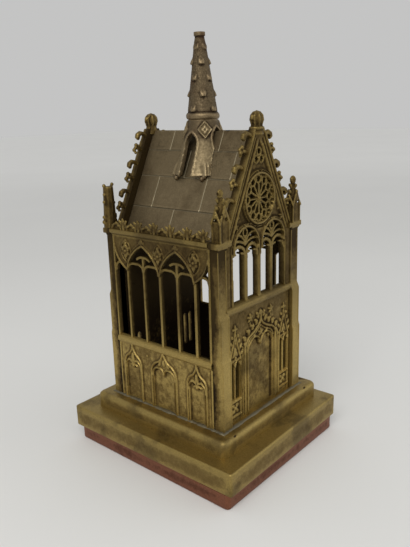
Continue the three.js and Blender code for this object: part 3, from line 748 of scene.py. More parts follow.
def build_tarnish(w, given):
    """Bright on what stands proud, brown in the hollows and in the painted shade inside the chapel, and
    cloudy in between.
    """
    place = given["Place"]
    broad = w.cloud(place, 42.0, 4.0)
    small = w.cloud(place, 330.0, 4.0, 0.65)
    fine = w.cloud(place, 1500.0, 2.0)
    unrest = w.maths("ADD", w.maths("MULTIPLY", broad, 2.4), w.maths("MULTIPLY", small, 2.6))
    unrest = w.maths("SUBTRACT", unrest, 2.5)
    level = w.maths("ADD", given["Worn"], w.maths("MULTIPLY", unrest, given["Cloudiness"]))
    level = w.maths("ADD", level, given["Polish"])
    dark = w.blend(w.span(level, -0.75, 0.0), given["Hollow"], given["Ground"])
    bright = w.blend(w.span(level, 0.05, 0.85), dark, given["Bright"])
    speck = w.span(fine, 0.35, 0.7, 0.82, 1.1)
    colour = w.blend(1.0, bright, w.add("ShaderNodeCombineColor", {0: speck, 1: speck, 2: speck}).outputs[0],
                     "MULTIPLY")
    rough = w.span(level, -0.8, 0.9, 0.78, 0.44)
    return {"Colour": colour, "Roughness": rough}


def build_stipple(w, given):
    """Close punch marks, as a height."""
    punched = w.add("ShaderNodeTexVoronoi", {"Vector": given["Place"], "Scale": given["Scale"],
                                             "Randomness": 0.9})
    pit = w.span(punched.outputs["Distance"], 0.08, 0.5)
    skin = w.cloud(given["Place"], 900.0, 3.0)
    height = w.maths("ADD", w.maths("MULTIPLY", pit, given["Depth"]), w.maths("MULTIPLY", skin, 0.25))
    return {"Height": height, "Pits": pit}


def build_stain(w, given):
    """Patches where an old stain sits."""
    patch = w.cloud(given["Place"], given["Scale"], 5.0, 0.6)
    low = w.maths("SUBTRACT", 1.0, given["Amount"])
    edge = w.maths("ADD", low, 0.16)
    node = w.add("ShaderNodeMapRange", {"Value": patch, "From Min": low, "From Max": edge},
                 interpolation_type="SMOOTHSTEP")
    return {"Mask": node.outputs[0]}


def make_groups():
    # Its Worn input carries rubbed wear and hollow patina, and also the painted shade inside the chapel.
    tarnish = node_group(
        "Tarnish",
        {"Place": (VECTOR, None), "Worn": (FLOAT, 0.0), "Polish": (FLOAT, 0.0), "Cloudiness": (FLOAT, 0.6),
         "Bright": (COLOUR, None), "Ground": (COLOUR, None), "Hollow": (COLOUR, None)},
        {"Colour": COLOUR, "Roughness": FLOAT}, build_tarnish)
    stipple = node_group(
        "Stipple", {"Place": (VECTOR, None), "Scale": (FLOAT, 1300.0), "Depth": (FLOAT, 1.0)},
        {"Height": FLOAT, "Pits": FLOAT}, build_stipple)
    stain = node_group(
        "Stain", {"Place": (VECTOR, None), "Scale": (FLOAT, 80.0), "Amount": (FLOAT, 0.4)},
        {"Mask": FLOAT}, build_stain)
    return {"tarnish": tarnish, "stipple": stipple, "stain": stain}


def new_material(name):
    material = bpy.data.materials.new(name)
    material.use_nodes = True
    material.node_tree.nodes.clear()
    w = Wiring(material.node_tree)
    shader = w.add("ShaderNodeBsdfPrincipled")
    output = w.add("ShaderNodeOutputMaterial")
    w.feed(output.inputs["Surface"], shader.outputs[0])
    return material, w, shader


def placed_group(w, name, values):
    node = w.add("ShaderNodeGroup", node_tree=bpy.data.node_groups[name])
    for key, value in values.items():
        w.feed(node.inputs[key], value)
    return node.outputs


def brass_material(name, bright, ground, hollow, polish=0.0, cloudiness=0.6, stipple=1300.0, pit=0.6,
                   relief=0.12, metallic=0.92, height_shift=None, umber=0.0, stains=(),
                   marked=None):
    """A tarnished metal: height_shift is (low, high, change of polish) along the height of the work."""
    material, w, shader = new_material(name + "_finish")
    place = w.add("ShaderNodeTexCoord").outputs["Object"]
    # The worn attribute carries rubbed wear, hollow patina and, inside the chapel, painted shade.
    worn = w.add("ShaderNodeAttribute", attribute_name="worn").outputs["Fac"]
    height = 0.0
    if height_shift:
        low, high, change = height_shift
        height = w.span(w.add("ShaderNodeSeparateXYZ", {0: place}).outputs[2], low * MM, high * MM)
        polish = w.maths("ADD", w.maths("MULTIPLY", height, change), polish)
    metal = placed_group(w, "Tarnish", {"Place": place, "Worn": worn, "Polish": polish,
                                        "Cloudiness": cloudiness, "Bright": bright, "Ground": ground,
                                        "Hollow": hollow})
    colour, rough = metal["Colour"], metal["Roughness"]
    if umber:
        colour = w.blend(w.maths("MULTIPLY", height, umber), colour, tuple(0.42 * v for v in ground))
    for scale, amount, tone, strength in stains:
        mask = placed_group(w, "Stain", {"Place": place, "Scale": scale, "Amount": amount})["Mask"]
        mask = w.maths("MULTIPLY", mask, strength)
        colour = w.blend(mask, colour, tone)
        rough = w.maths("ADD", rough, w.maths("MULTIPLY", mask, 0.12))
    if marked:
        mark = w.add("ShaderNodeAttribute", attribute_name="mark").outputs["Fac"]
        colour = w.blend(mark, colour, marked)
    punched = placed_group(w, "Stipple", {"Place": place, "Scale": stipple, "Depth": pit})
    bump = w.add("ShaderNodeBump", {"Height": punched["Height"], "Strength": 1.0, "Distance": relief * MM})
    w.feed(shader.inputs["Base Color"], colour)
    w.feed(shader.inputs["Roughness"], rough)
    w.feed(shader.inputs["Normal"], bump.outputs[0])
    shader.inputs["Metallic"].default_value = metallic
    return material


def make_materials():
    """The finishes, each from its own colours."""
    c = bpy.context.scene.reliquary_finish
    gilt, brass, brown, slate = tuple(c.gilt), tuple(c.brass), tuple(c.brown), tuple(c.slate)
    dark = tuple(v * 0.35 for v in brown)
    brass_material("wall_brass", gilt, brass, brown, polish=0.42, cloudiness=0.75,
                   height_shift=(70, 118, -0.5), umber=0.55,
                   stains=[(28, 0.5, tuple(v * 1.5 for v in brown), 0.5), (240, 0.36, dark, 0.55)])
    brass_material("step_brass", tuple(0.8 * v for v in gilt), brass, brown, polish=0.15, cloudiness=0.4,
                   pit=0.25, relief=0.05, stains=[(40, 0.5, tuple(v * 1.8 for v in brown), 0.5),
                                                  (300, 0.33, dark, 0.7)], marked=tuple(c.residue))
    brass_material("roof_brass", tuple(1.25 * v for v in slate), slate, tuple(0.5 * v for v in slate),
                   polish=0.35, cloudiness=0.5, pit=0.15, relief=0.04, metallic=0.85,
                   height_shift=(160, 212, -0.4),
                   stains=[(22, 0.5, (0.075, 0.048, 0.022), 0.55)], marked=tuple(c.scratch))
    brass_material("spire_brass", tuple(1.35 * v for v in c.stone), tuple(0.75 * v for v in c.stone),
                   (0.045, 0.028, 0.016), polish=0.0, cloudiness=0.5, stipple=1700.0, relief=0.08,
                   stains=[(45, 0.5, (0.075, 0.034, 0.02), 0.6)], marked=(0.36, 0.28, 0.155))
    brass_material("copper_plate", tuple(1.5 * v for v in c.copper), tuple(c.copper),
                   tuple(0.3 * v for v in c.copper), polish=0.1, cloudiness=0.8, pit=0.2, relief=0.04,
                   stains=[(60, 0.36, (0.05, 0.02, 0.012), 0.6)])


# ---------------------------------------------------------------- plate and steps


def rounded_ring(half_x, half_y, radius, steps=6):
    points = []
    for sx, sy, start in ((1, 1, 0), (-1, 1, 90), (-1, -1, 180), (1, -1, 270)):
        points += arc(sx * (half_x - radius), sy * (half_y - radius), radius, start, start + 90, steps)
    return points


def slab(node, levels, corner, turn=0.0, spacing=1.6):
    """A slab fitted to its piece of the frame: levels are (inset, height) from its underside to its top.

    Its long sides are divided, so that filing marks and small dents can be worked into them."""
    low, high = box_mm(node)
    centre = (low + high) / 2
    tilt = math.radians(abs(turn))
    wide, deep = (high.x - low.x) / 2, (high.y - low.y) / 2
    half_x = (wide * math.cos(tilt) - deep * math.sin(tilt)) / math.cos(2 * tilt)
    half_y = (deep * math.cos(tilt) - wide * math.sin(tilt)) / math.cos(2 * tilt)
    rings = []
    for inset, z in levels:
        ring = rounded_ring(half_x - inset, half_y - inset, max(0.3, corner - inset * 0.8))
        dense = []
        for (x0, y0), (x1, y1) in zip(ring, ring[1:] + ring[:1]):
            dense.append((x0, y0))
            long_side = math.hypot(x1 - x0, y1 - y0) > half_x
            cuts = max(1, round(math.hypot(half_x, half_y) / spacing)) if long_side else 1
            dense += [(x0 + (x1 - x0) * k / cuts, y0 + (y1 - y0) * k / cuts) for k in range(1, cuts)]
        rings.append([(x, y, z) for x, y in dense])
    count = len(rings[0])
    verts = np.array([p for ring in rings for p in ring], float)
    worn = np.array([noise.noise(Vector(p) * 0.11) for p in verts])
    fine = np.array([noise.noise(Vector(p) * 0.6) for p in verts])
    pull = 1 - (0.12 * np.abs(worn) + 0.05 * np.abs(fine)) / half_x
    between = verts[:, 2] > levels[0][1] + 0.1
    verts[:, :2] *= np.where(between, pull, 1.0)[:, None]
    cos, sin = cos_sin(turn)
    verts = np.stack([verts[:, 0] * cos - verts[:, 1] * sin + centre.x,
                      verts[:, 0] * sin + verts[:, 1] * cos + centre.y, verts[:, 2]], axis=-1)
    faces = []
    for level in range(len(levels) - 1):
        for k in range(count):
            a, b = level * count + k, level * count + (k + 1) % count
            faces.append([a, b, b + count, a + count])
    top = (len(levels) - 1) * count
    faces.append(list(range(count))[::-1])
    faces.append([top + k for k in range(count)])
    return verts, faces


def stack(low, high, first, last, count=8):
    """Levels up a plain side, between a lower edge and a list of upper ones."""
    sides = [(0.0, low + (high - low) * k / count) for k in range(count + 1)]
    return first + sides + last


def residue_bead(height):
    """Lumpy old solder and dust along the foot of the walls."""
    half_y = GABLE_INNER + 7.4
    outline = [(-HALF_X, -half_y), (HALF_X, -half_y), (HALF_X, half_y), (-HALF_X, half_y)]
    path = []
    for (x0, y0), (x1, y1) in zip(outline, outline[1:] + outline[:1]):
        steps = round(math.hypot(x1 - x0, y1 - y0) / 1.1)
        path += [(x0 + (x1 - x0) * k / steps, y0 + (y1 - y0) * k / steps) for k in range(steps)]
    verts, faces, count = [], [], len(path)
    for x, y in path:
        swell = 0.55 + 0.75 * (0.5 + 0.5 * noise.noise(Vector((x, y, 3)) * 0.21)) \
            + 0.45 * noise.noise(Vector((x, y, 9)) * 0.8)
        swell = max(0.35, swell)
        nx = (x / HALF_X) if abs(x) > HALF_X - 0.01 else 0
        ny = (y / half_y) if abs(y) > half_y - 0.01 else 0
        for out, up in ((-0.4, -0.25), (swell * 1.7, -0.25), (swell * 1.25, swell * 0.35),
                        (swell * 0.5, swell * 0.75), (-0.4, swell * 1.05)):
            verts.append((x + nx * out, y + CENTRE_Y + ny * out, height + up))
    for k in range(count):
        for j in range(5):
            a, b = k * 5 + j, k * 5 + (j + 1) % 5
            c, d = (k + 1) % count * 5 + (j + 1) % 5, (k + 1) % count * 5 + j
            faces.append([a, d, c, b])
    return np.array(verts), faces, np.full(len(verts), 0.85)


def make_base():
    low, high = box_mm("copper_bottom_plate")
    levels = stack(low.z + 0.9, high.z - 0.25, [(0.8, low.z), (0.3, low.z + 0.3)], [(0.3, high.z)], 5)
    plate = slab("copper_bottom_plate", levels, 2.8, -0.8)
    piece("copper_plate_finished", [plate], "copper_plate",
          "copper_bottom_plate", sharp=50)
    low, high = box_mm("lower_step")
    levels = stack(low.z + 0.5, high.z - 0.9, [(0.45, low.z), (0.1, low.z + 0.2)],
                   [(0.25, high.z - 0.4), (0.75, high.z - 0.05), (1.3, high.z)], 7)
    piece("lower_step_finished", [slab("lower_step", levels, 1.6)], "step_brass", "lower_step", sharp=60)
    low, high = box_mm("upper_step")
    nose = 3.2
    curve = [(nose * (1 - math.cos(t)), high.z - nose * (1 - math.sin(t)))
             for t in np.linspace(0, math.pi / 2, 10)[1:]]
    levels = stack(low.z, high.z - nose, [], curve, 4)
    piece("upper_step_finished", [slab("upper_step", levels, 4.0, -0.4), residue_bead(high.z)],
          "step_brass", "upper_step", sharp=60)


# ---------------------------------------------------------------- arcaded side walls

SIDE_WALL = 3.0
PITCH = 14.45
JAMB = 39.6
SILL = 81.0
SPRING = 129.0
ARCH_TOP = 145.2
HEAD_TOP = 133.0


def arcade_openings(r):
    """One wide opening under two whole arches and a half arch at either end."""
    r.cut(rectangle(-JAMB, SILL, JAMB, SPRING + 0.6))
    for x in (-PITCH, PITCH):
        r.cut(shifted(pointed_head(PITCH - 0.75, SPRING - 1, SPRING, ARCH_TOP, 0.12), x))
    for hand in (-1, 1):
        half = [(29.5, SPRING - 1), (JAMB, SPRING - 1), (JAMB, 143.4)] + bow(JAMB, 143.4, 29.6, SPRING, 0.12)
        r.cut(flipped(half, hand))


def arcade_tracery(r):
    """Mullions that branch into the arches, and the thin heads of the lights between them."""
    width = bpy.context.scene.reliquary_casting.tracery / MM
    level = r.ground - 1.0
    for i in (-2, 0, 2):
        r.bar(upright(i * PITCH, SILL - 1, SPRING + 1), 1.75, 0.9, level)
    for hand in (-1, 1):
        x = hand * PITCH
        r.bar(upright(x, SILL - 1, 137.6), 1.65, 0.8, level)
        cross = bow(-5.4, 136.6, 0, 138.2, 0.1) + bow(0, 138.2, 5.4, 136.6, 0.1)[1:]
        r.bar(shifted(cross, x), width, 0.7, level)
    edges = [-JAMB, -2 * PITCH, -PITCH, 0, PITCH, 2 * PITCH, JAMB]
    for left, right in zip(edges, edges[1:]):
        middle, half = (left + right) / 2, (right - left) / 2
        head = both(bow(-half, SPRING - 1.5, 0, HEAD_TOP, 0.27))
        r.bar(shifted(head, middle), width, 0.7, level)
    for x in (-PITCH, PITCH):
        rib = shifted(pointed_head(PITCH - 0.25, SPRING - 0.5, SPRING, ARCH_TOP + 0.7, 0.12), x)
        r.roll(rib, 1.35, 0.75)
        outer = shifted(pointed_head(PITCH - 0.2, SPRING + 4, SPRING + 4.2, ARCH_TOP + 2.6, 0.1), x)
        r.roll(outer, 0.8, 0.4)
        r.leaf(x, ARCH_TOP + 1, 4.2, 3.4, 90, 1.0, 1.5)
        r.boss(x - 1.7, ARCH_TOP + 2.6, 1.8, 1.8, 0.7)
        r.boss(x + 1.7, ARCH_TOP + 2.6, 1.8, 1.8, 0.7)
    for hand in (-1, 1):
        rib = bow(29.0, SPRING, JAMB + 0.3, 144.2, -0.12)
        r.roll(flipped(rib, hand), 1.35, 0.75)
        r.roll(upright(hand * (JAMB + 0.6), SILL, CORNICE_LOW), 0.9, 0.45)


def spandrel_leaves(r):
    """A knot of curled leaves in an almond, over each main mullion."""
    for x in (-2 * PITCH, 0, 2 * PITCH):
        almond = shifted([(0, 133.6)] + bow(0, 133.6, 0, 148.6, -0.3)[1:-1] + [(0, 148.6)]
                         + bow(0, 148.6, 0, 133.6, -0.3)[1:-1], x)
        r.sink(almond, 0.3, 0.8)
        r.roll(almond, 0.8, 0.5, closed=True)
        r.leaf(x, 141.6, 6.2, 4.4, 90, 1.3, 2.5)
        r.leaf(x, 140.8, 5.8, 3.6, -90, 1.2, 2)
        for hand, turn in ((1, 22), (-1, 158)):
            r.leaf(x, 141.4, 4.9, 3.9, turn, 1.3, 2, curl=hand * 0.15)
            r.leaf(x, 141.0, 4.2, 3.0, -turn - 12 * hand, 1.1, 1.5)
        r.boss(x, 141.2, 2.1, 2.1, 1.6)
    for x in (-3.5 * PITCH + 11.2, -PITCH, PITCH, 3.5 * PITCH - 11.2):
        r.boss(x, 149.4, 1.4, 1.0, 0.4)


def blind_niche(r, x, half, spring, apex, fleur):
    """A shallow niche with an ogee hood; the narrow ones hold a lily."""
    sunk = bpy.context.scene.reliquary_casting.sunk / MM
    r.sink(shifted(lobed_head(half - 0.6, FOOT - 2, spring - 3, spring + 2.2, spring - 1.2), x), sunk, 0.6)
    r.roll(shifted(ogee_head(half, FOOT - 2, spring - 1, apex), x), 1.35, 1.0)
    for hand in (-1, 1):
        r.roll(upright(x + hand * (half - 1.5), FOOT - 2, spring - 3), 0.75, 0.5)
    cusp = shifted(lobed_head(half - 1, spring - 4, spring - 3, spring + 2.2, spring - 1.2), x)
    r.roll(cusp, 1.05, 0.85)
    r.boss(x, spring - 1.4, 2.2, 2.4, 1.1)
    r.leaf(x, apex - 0.6, 3.4, 3.0, 90, 0.9, 1.5)
    if fleur:
        r.leaf(x, spring + 0.6, 8.4, 4.2, 90, 1.25, 1)
        for hand, turn in ((1, 38), (-1, 142)):
            r.leaf(x, spring + 0.8, 5.0, 2.6, turn, 1.0, 1, curl=-hand * 0.3)
            r.boss(x + hand * 4.4, spring + 2.1, 1.7, 1.7, 0.9)
            r.leaf(x, spring + 0.4, 4.2, 2.0, -turn, 0.8, 1, curl=hand * 0.2)
    else:
        for hand in (-1, 1):
            r.leaf(x + hand * 4.6, spring + 3.4, 6.4, 2.6, 90 + hand * 32, 0.8, 1)
        r.boss(x, spring + 6.4, 3.0, 4.6, 0.7)


def arcade_cresting(front):
    """Hoops with fans of leaves between them, standing on the cornice."""
    base = CORNICE_TOP - 0.4
    middle = front + 0.6
    pitch, first, count = 13.65, -42.8, 6
    parts = []
    for i in range(count):
        x = first + pitch * (i + 0.5)
        hoop = [(px, py, middle) for px, py in arc(x, base, 4.1, -4, 184, 14)]
        parts.append(limb(hoop, [0.85] * len(hoop), 8))
        web = arc(x, base, 4.0, 0, 180, 12)
        parts.append(prism(web, middle - 0.8, middle - 0.15))
        for turn in (35, 90, 145):
            tip = arc(x, base, 4.9, turn, turn, 1)[0]
            parts.append(ball(*tip, middle, 0.75, 0.6, 0.75, turn))
        stem = min(x + pitch / 2, SIDE_HALF - 3.6)
        parts.append(limb([(stem, base - 0.2, middle), (stem, base + 4.4, middle + 0.1)], [1.25, 0.8]))
        for lean, reach, thick in ((0, 8.0, 1.25), (27, 7.5, 1.15), (-27, 7.5, 1.15),
                                   (58, 5.7, 1.05), (-58, 5.7, 1.05)):
            s, c = math.sin(math.radians(lean)), math.cos(math.radians(lean))
            root = (stem + s * 1.4, base + 1.6 + c * 1.2, middle)
            knee = (stem + s * reach * 0.62, base + 0.8 + c * reach * 0.66, middle + 0.2)
            tip = (stem + s * reach * 0.92, base + 0.4 + c * reach * 0.88, middle + 0.75)
            parts.append(limb([root, knee, tip], [0.5, thick, 0.85], 8, 0.75))
            parts.append(ball(tip[0], tip[1], middle + 0.7, 0.95, 0.85, 0.7, -lean))
    return fused(parts)


def make_arcade_wall(name, node, quarter_turns):
    r = Relief(-SIDE_HALF, SIDE_HALF, FOOT, CORNICE_LOW + 0.7, SIDE_WALL)
    arcade_openings(r)
    r.roughen(0.09, 0.95, quarter_turns)
    spandrel_leaves(r)
    blind_niche(r, -28.4, 8, 62.5, 77, True)
    blind_niche(r, 0, 11, 63.5, 77.8, False)
    blind_niche(r, 28.4, 8, 62.5, 77, True)
    for x in (-14.6, 14.6):
        r.boss(x, 71.5, 1.6, 1.6, 0.6)
    for hand in (-1, 1):
        r.groove(upright(hand * 39.2, FOOT, 75.5), 0.9, 0.45)
        r.roll(upright(hand * 40.4, FOOT, 75.5), 0.9, 0.35)
    arcade_tracery(r)
    place = standing(SIDE_INNER, quarter_turns)
    front = SIDE_WALL
    cornice = [(0, CORNICE_LOW), (front, CORNICE_LOW), (front + 0.5, 151.0), (front + 1.5, 152.1),
               (front + 2.1, 152.3), (front + 2.3, 152.7), (front + 2.3, 154.3), (front + 1.9, CORNICE_TOP),
               (0, CORNICE_TOP)]
    sill = [(1, 75.8), (front, 75.8), (front + 0.3, 76.5), (front + 1.0, 77.0), (front + 1.3, 77.6),
            (front + 1.3, 79.8), (front + 0.9, 80.3), (front - 1.4, 81.8), (1, 81.8)]
    shells = [
        cast(r, place),
        stood(moulding(cornice, -SIDE_HALF, SIDE_HALF), place),
        stood(moulding(sill, -SIDE_HALF, SIDE_HALF), place),
        stood(arcade_cresting(front - 0.2), place),
    ]
    piece(name, shells, "wall_brass", node)


# ---------------------------------------------------------------- gable walls

WALL = 4.2
RAKE_STEP = 2.04
RAKE_TOP = 226.4
RAKE_TURN = math.atan(RAKE_STEP)
ROSE_Z = 174.9
PIER_WIDTH = 8.9
DOOR_WINDOW = 27.3


def rake_point(along, out=0.0):
    """A point of the sloping edge, at a distance down from its top and out from the edge."""
    x = along * math.cos(RAKE_TURN) + out * math.sin(RAKE_TURN)
    z = RAKE_TOP - along * math.sin(RAKE_TURN) + out * math.cos(RAKE_TURN)
    return x, z


def gable_outline():
    shoulder = (RAKE_TOP - CORNICE_TOP) / RAKE_STEP
    tip = 5.0
    edge = HALF_X - 0.6
    half = [(edge, FOOT), (edge, CORNICE_TOP), (shoulder, CORNICE_TOP), (tip, RAKE_TOP - tip * RAKE_STEP)]
    return half + mirrored(half)


def paired_lights(r, blind):
    """Two lancets under a round arch, with leaf-shaped tracery in its head; blind ones are only sunk."""
    level = r.ground - 1.4
    sill, centre_x, head_z = 113, 14.3, 147.2
    r.sink(rectangle(-2.3, 113.4, 2.3, 146), 0.8, 0.9)
    r.roll(upright(0, 113, 147.5), 2.0, 0.9, on=r.ground - 0.8)
    for hand in (-1, 1):
        head = arc(centre_x, head_z, 12.1, -6, 186, 22)
        opening = [(1.9, sill), (28, sill), (27.8, 142.5)] + head + [(1.9, 143)]
        if blind:
            r.sink(flipped(opening, hand), 1.6, 0.5)
        else:
            r.cut(flipped(opening, hand))
        r.bar(flipped(upright(13.8, 112, 141), hand), 3.1, 1.3, level)
        for centre, half in ((7.4, 5.7), (21.2, 6.8)):
            head = shifted(both(bow(-half, 140.5, 0, 148.4, 0.24)), centre)
            r.bar(flipped(head, hand), 1.9, 1.1, level)
            for side in (-1, 1):
                cusp = [(centre + side * half * 0.92, 143.2), (centre + side * half * 0.42, 144.0)]
                r.bar(flipped(cusp, hand), 1.2, 0.8, level)
        x, z = centre_x, 148.6
        for turn, reach, swell in ((90, 5.2, 0.0), (42, 10.6, 0.16), (138, 10.6, -0.16),
                                   (14, 11.6, 0.12), (166, 11.6, -0.12)):
            ex = x + reach * math.cos(math.radians(turn))
            ez = z + reach * math.sin(math.radians(turn))
            r.bar(flipped(bow(x, z, ex, ez, swell), hand), 1.3, 1.0, level)
        left = bow(0, 153.0, 0, 159.2, 0.34)
        right = bow(0, 159.2, 0, 153.0, 0.34)
        r.bar(flipped(shifted(left + right[1:-1], x), hand), 1.15, 0.9, level, closed=True)
        r.roll(flipped(arc(x, head_z, 12.7, -10, 190, 26), hand), 1.6, 1.1)
        r.roll(flipped(arc(x, head_z, 14.1, 8, 172, 24), hand), 0.8, 0.5)
        r.roll(flipped(upright(28.8, 113.4, 145), hand), 1.1, 0.6)
        r.groove(flipped(upright(30.2, 113.4, 150), hand), 1.0, 0.8)


def rose_window(r):
    """A hub, twelve forking spokes and a ring of twelve round lights."""
    level = r.ground - 1.7
    spokes = 12
    ring, eye = 11.7, 2.45
    r.cut(arc(0, ROSE_Z, 14.7, 0, 345, 23))
    for i in range(spokes):
        turn = 360 / spokes * i
        c, s = cos_sin(turn)
        r.bar([(1.2 * c, ROSE_Z + 1.2 * s), (9.4 * c, ROSE_Z + 9.4 * s)], 1.15, 1.2, level)
        r.bar(arc(ring * c, ROSE_Z + ring * s, eye, 0, 330, 11), 1.15, 1.2, level, closed=True)
        half_turn = turn + 180 / spokes
        c, s = cos_sin(half_turn)
        r.bar([(13.1 * c, ROSE_Z + 13.1 * s), (15 * c, ROSE_Z + 15 * s)], 1.2, 0.8, level)
        r.boss(10.3 * c, ROSE_Z + 10.3 * s, 1.2, 1.2, 0.3, on=level)
    r.bar(arc(0, ROSE_Z, 1.1, 0, 315, 7), 1.9, 1.5, level, closed=True)
    r.boss(0, ROSE_Z, 3.4, 3.4, 1.9, on=level + 0.6)
    r.roll(arc(0, ROSE_Z, 15.3, 0, 350, 35), 1.7, 1.1, closed=True)
    r.roll(arc(0, ROSE_Z, 16.9, 0, 350, 35), 0.8, 0.5, closed=True)


def gable_field(r):
    """The sunk triangle between the sloping frames, its trefoil, and the lines of the frames."""
    drop = 7.0 / math.cos(RAKE_TURN)
    inner = RAKE_TOP - drop
    triangle = [(-(inner - 156.5) / RAKE_STEP, 156.5), ((inner - 156.5) / RAKE_STEP, 156.5), (0, inner)]
    r.sink(triangle, 0.9, 0.5)
    for hand in (-1, 1):
        for out, width, height in ((-0.7, 1.3, 0.9), (-3.0, 0.7, 0.4), (-5.9, 1.2, 0.7)):
            top, bottom = rake_point(13 - out, out), rake_point(79, out)
            r.roll(flipped([top, bottom], hand), width, height)
        r.groove(flipped([rake_point(16, -4.4), rake_point(78, -4.4)], hand), 1.3, 0.7)
    for x, z in ((0, 203.0), (-2.6, 198.3), (2.6, 198.3)):
        r.cut(arc(x, z, 1.7, 0, 330, 11))
        r.roll(arc(x, z, 2.35, 0, 330, 11), 1.0, 0.7, on=r.ground - 0.9, closed=True)
    for hand in (-1, 1):
        r.flower(hand * 24.6, 160.8, 2.7, 5, 1.3, 90, on=r.ground - 0.4)
        r.leaf(hand * 20.6, 164.8, 4.0, 2.4, 90 - hand * 25, 0.8, 1, on=r.ground - 0.7)


def small_windows(r, plain):
    """A pair of slits over a leaf panel, under a tall leafy canopy."""
    for x in (-DOOR_WINDOW, DOOR_WINDOW):
        half, slit, panel_z = 5.55, 2.8, 45.2
        r.sink(rectangle(x - half, 50.2, x + half, 77.2), 0.6, 0.4)
        for hand in (-1, 1):
            r.cut(shifted(pointed_head(1.95, 51.5, 73.5, 77.0, 0.15), x + hand * slit))
            r.roll(upright(x + hand * (half + 0.1), FOOT, 78.5), 0.95, 0.9)
            r.groove(upright(x + hand * (half + 1.3), FOOT, 84), 0.9, 0.7)
            r.roll(shifted(both(bow(-2.5, 73.6, 0, 77.9, 0.15)), x + hand * slit), 0.8, 0.5)
        r.roll(upright(x, 50.6, 76), 1.0, 0.7, on=r.ground - 0.5)
        for z, width in ((50.3, 1.2), (40.1, 1.0), (78.4, 0.9)):
            r.roll([(x - half, z), (x + half, z)], width, 0.9)
        r.sink(rectangle(x - half + 0.5, 40.8, x + half - 0.5, 49.6), 0.7, 0.5)
        for k in range(4):
            r.leaf(x, panel_z, 4.9, 3.0, 45 + 90 * k, 1.3, 1.5, on=r.ground - 0.7)
        r.boss(x, panel_z, 2.2, 2.2, 1.5, on=r.ground - 0.6)
        hood = [(x - half, 79.0), (x - 2.2, 88.0), (x, 96.5), (x + 2.2, 88.0), (x + half, 79.0)]
        r.roll(hood, 1.0, 0.9)
        r.leaf(x, 79.6, 7.2, 4.6, 90, 1.0, 2.5)
        r.flower(x, 98.4, 2.9, 4, 1.2, 90)
        if plain:
            continue
        for hand in (-1, 1):
            for z, out, reach in ((80.5, 5.4, 3.4), (84.6, 4.2, 3.4), (88.8, 2.9, 3.2), (92.8, 1.8, 2.8)):
                r.leaf(x + hand * out, z, reach, 2.5, 90 - hand * 58, 1.2, 1.5, curl=hand * 0.25)
            r.leaf(x + hand * 2.2, 80.2, 4.6, 2.4, 90 + hand * 24, 0.9, 1.5)
            r.boss(x + hand * 6.4, 86.8, 1.8, 1.8, 0.9)
        r.leaf(x, 88.2, 5.4, 2.8, 90, 1.1, 1.5)
        r.boss(x, 79.8, 2.0, 2.0, 1.2)


def portal(r, plain):
    """A closed door sunk behind a cusped head, under a crocketed ogee."""
    spring = 76.0
    r.sink(lobed_head(13.7, FOOT - 2, spring, 86.6, 81.0), 1.1, 0.35)
    r.roll(lobed_head(14.4, FOOT - 2, spring, 87.3, 80.6), 1.0, 1.0)
    for hand in (-1, 1):
        r.groove(upright(hand * 15.7, FOOT, 82.5), 1.5, 1.5)
        r.roll(upright(hand * 17.1, FOOT, 83.5), 1.5, 1.15)
        r.groove(upright(hand * 18.5, FOOT, 83), 1.0, 0.8)
        r.roll(upright(hand * 19.5, FOOT, 84.5), 0.9, 0.8)
        r.boss(hand * 17.2, 85.6, 3.0, 3.4, 1.3)
        ogee = bow(17.4, 83.4, 12.6, 89.2, -0.1, 4) + bow(12.6, 89.2, 3.8, 93.2, 0.04, 4)[1:] \
            + bow(3.8, 93.2, 0, 100.2, 0.16, 4)[1:]
        r.roll(flipped(ogee, hand), 1.5, 1.25)
        inner = bow(14.6, 82.5, 10.8, 87.6, -0.1, 4) + bow(10.8, 87.6, 0, 93.4, 0.05, 4)[1:]
        r.roll(flipped(inner, hand), 0.9, 0.8)
    r.leaf(0, 86.2, 6.4, 4.4, -90, 1.1, 1.5, on=r.ground - 0.6)
    r.leaf(0, 99.6, 4.8, 3.8, 90, 1.4, 1.5)
    r.flower(0, 88.8, 3.2, 5, 1.2, 90)
    for hand in (-1, 1):
        r.leaf(0, 100.6, 3.6, 2.2, 90 - hand * 62, 1.1, 1.5)
        if plain:
            r.leaf(hand * 8.2, 91.8, 4.2, 3.0, 90 - hand * 30, 1.0, 1.5)
            continue
        for x, z, turn, reach in ((16.6, 86.8, 62, 4.2), (13.0, 90.0, 74, 4.4), (8.8, 92.4, 80, 4.6),
                                  (4.4, 94.8, 66, 4.2), (2.2, 98.6, 48, 3.2)):
            r.leaf(hand * x, z, reach, 3.3, turn if hand > 0 else 180 - turn, 1.5, 1.5, curl=hand * 0.28)
            r.boss(hand * (x + 1.6), z + 3.4, 2.0, 2.0, 1.35)
        r.flower(hand * 11.5, 101.2, 3.3, 5, 1.4, 90)
        r.leaf(hand * 11.5, 96.2, 3.4, 1.6, 90, 0.8, 1)
        r.leaf(hand * 5.4, 87.6, 3.8, 2.4, 90 - hand * 60, 1.0, 1.5)
        r.leaf(hand * 9.4, 84.8, 3.0, 2.0, -90 + hand * 20, 0.9, 1, on=r.ground - 0.6)


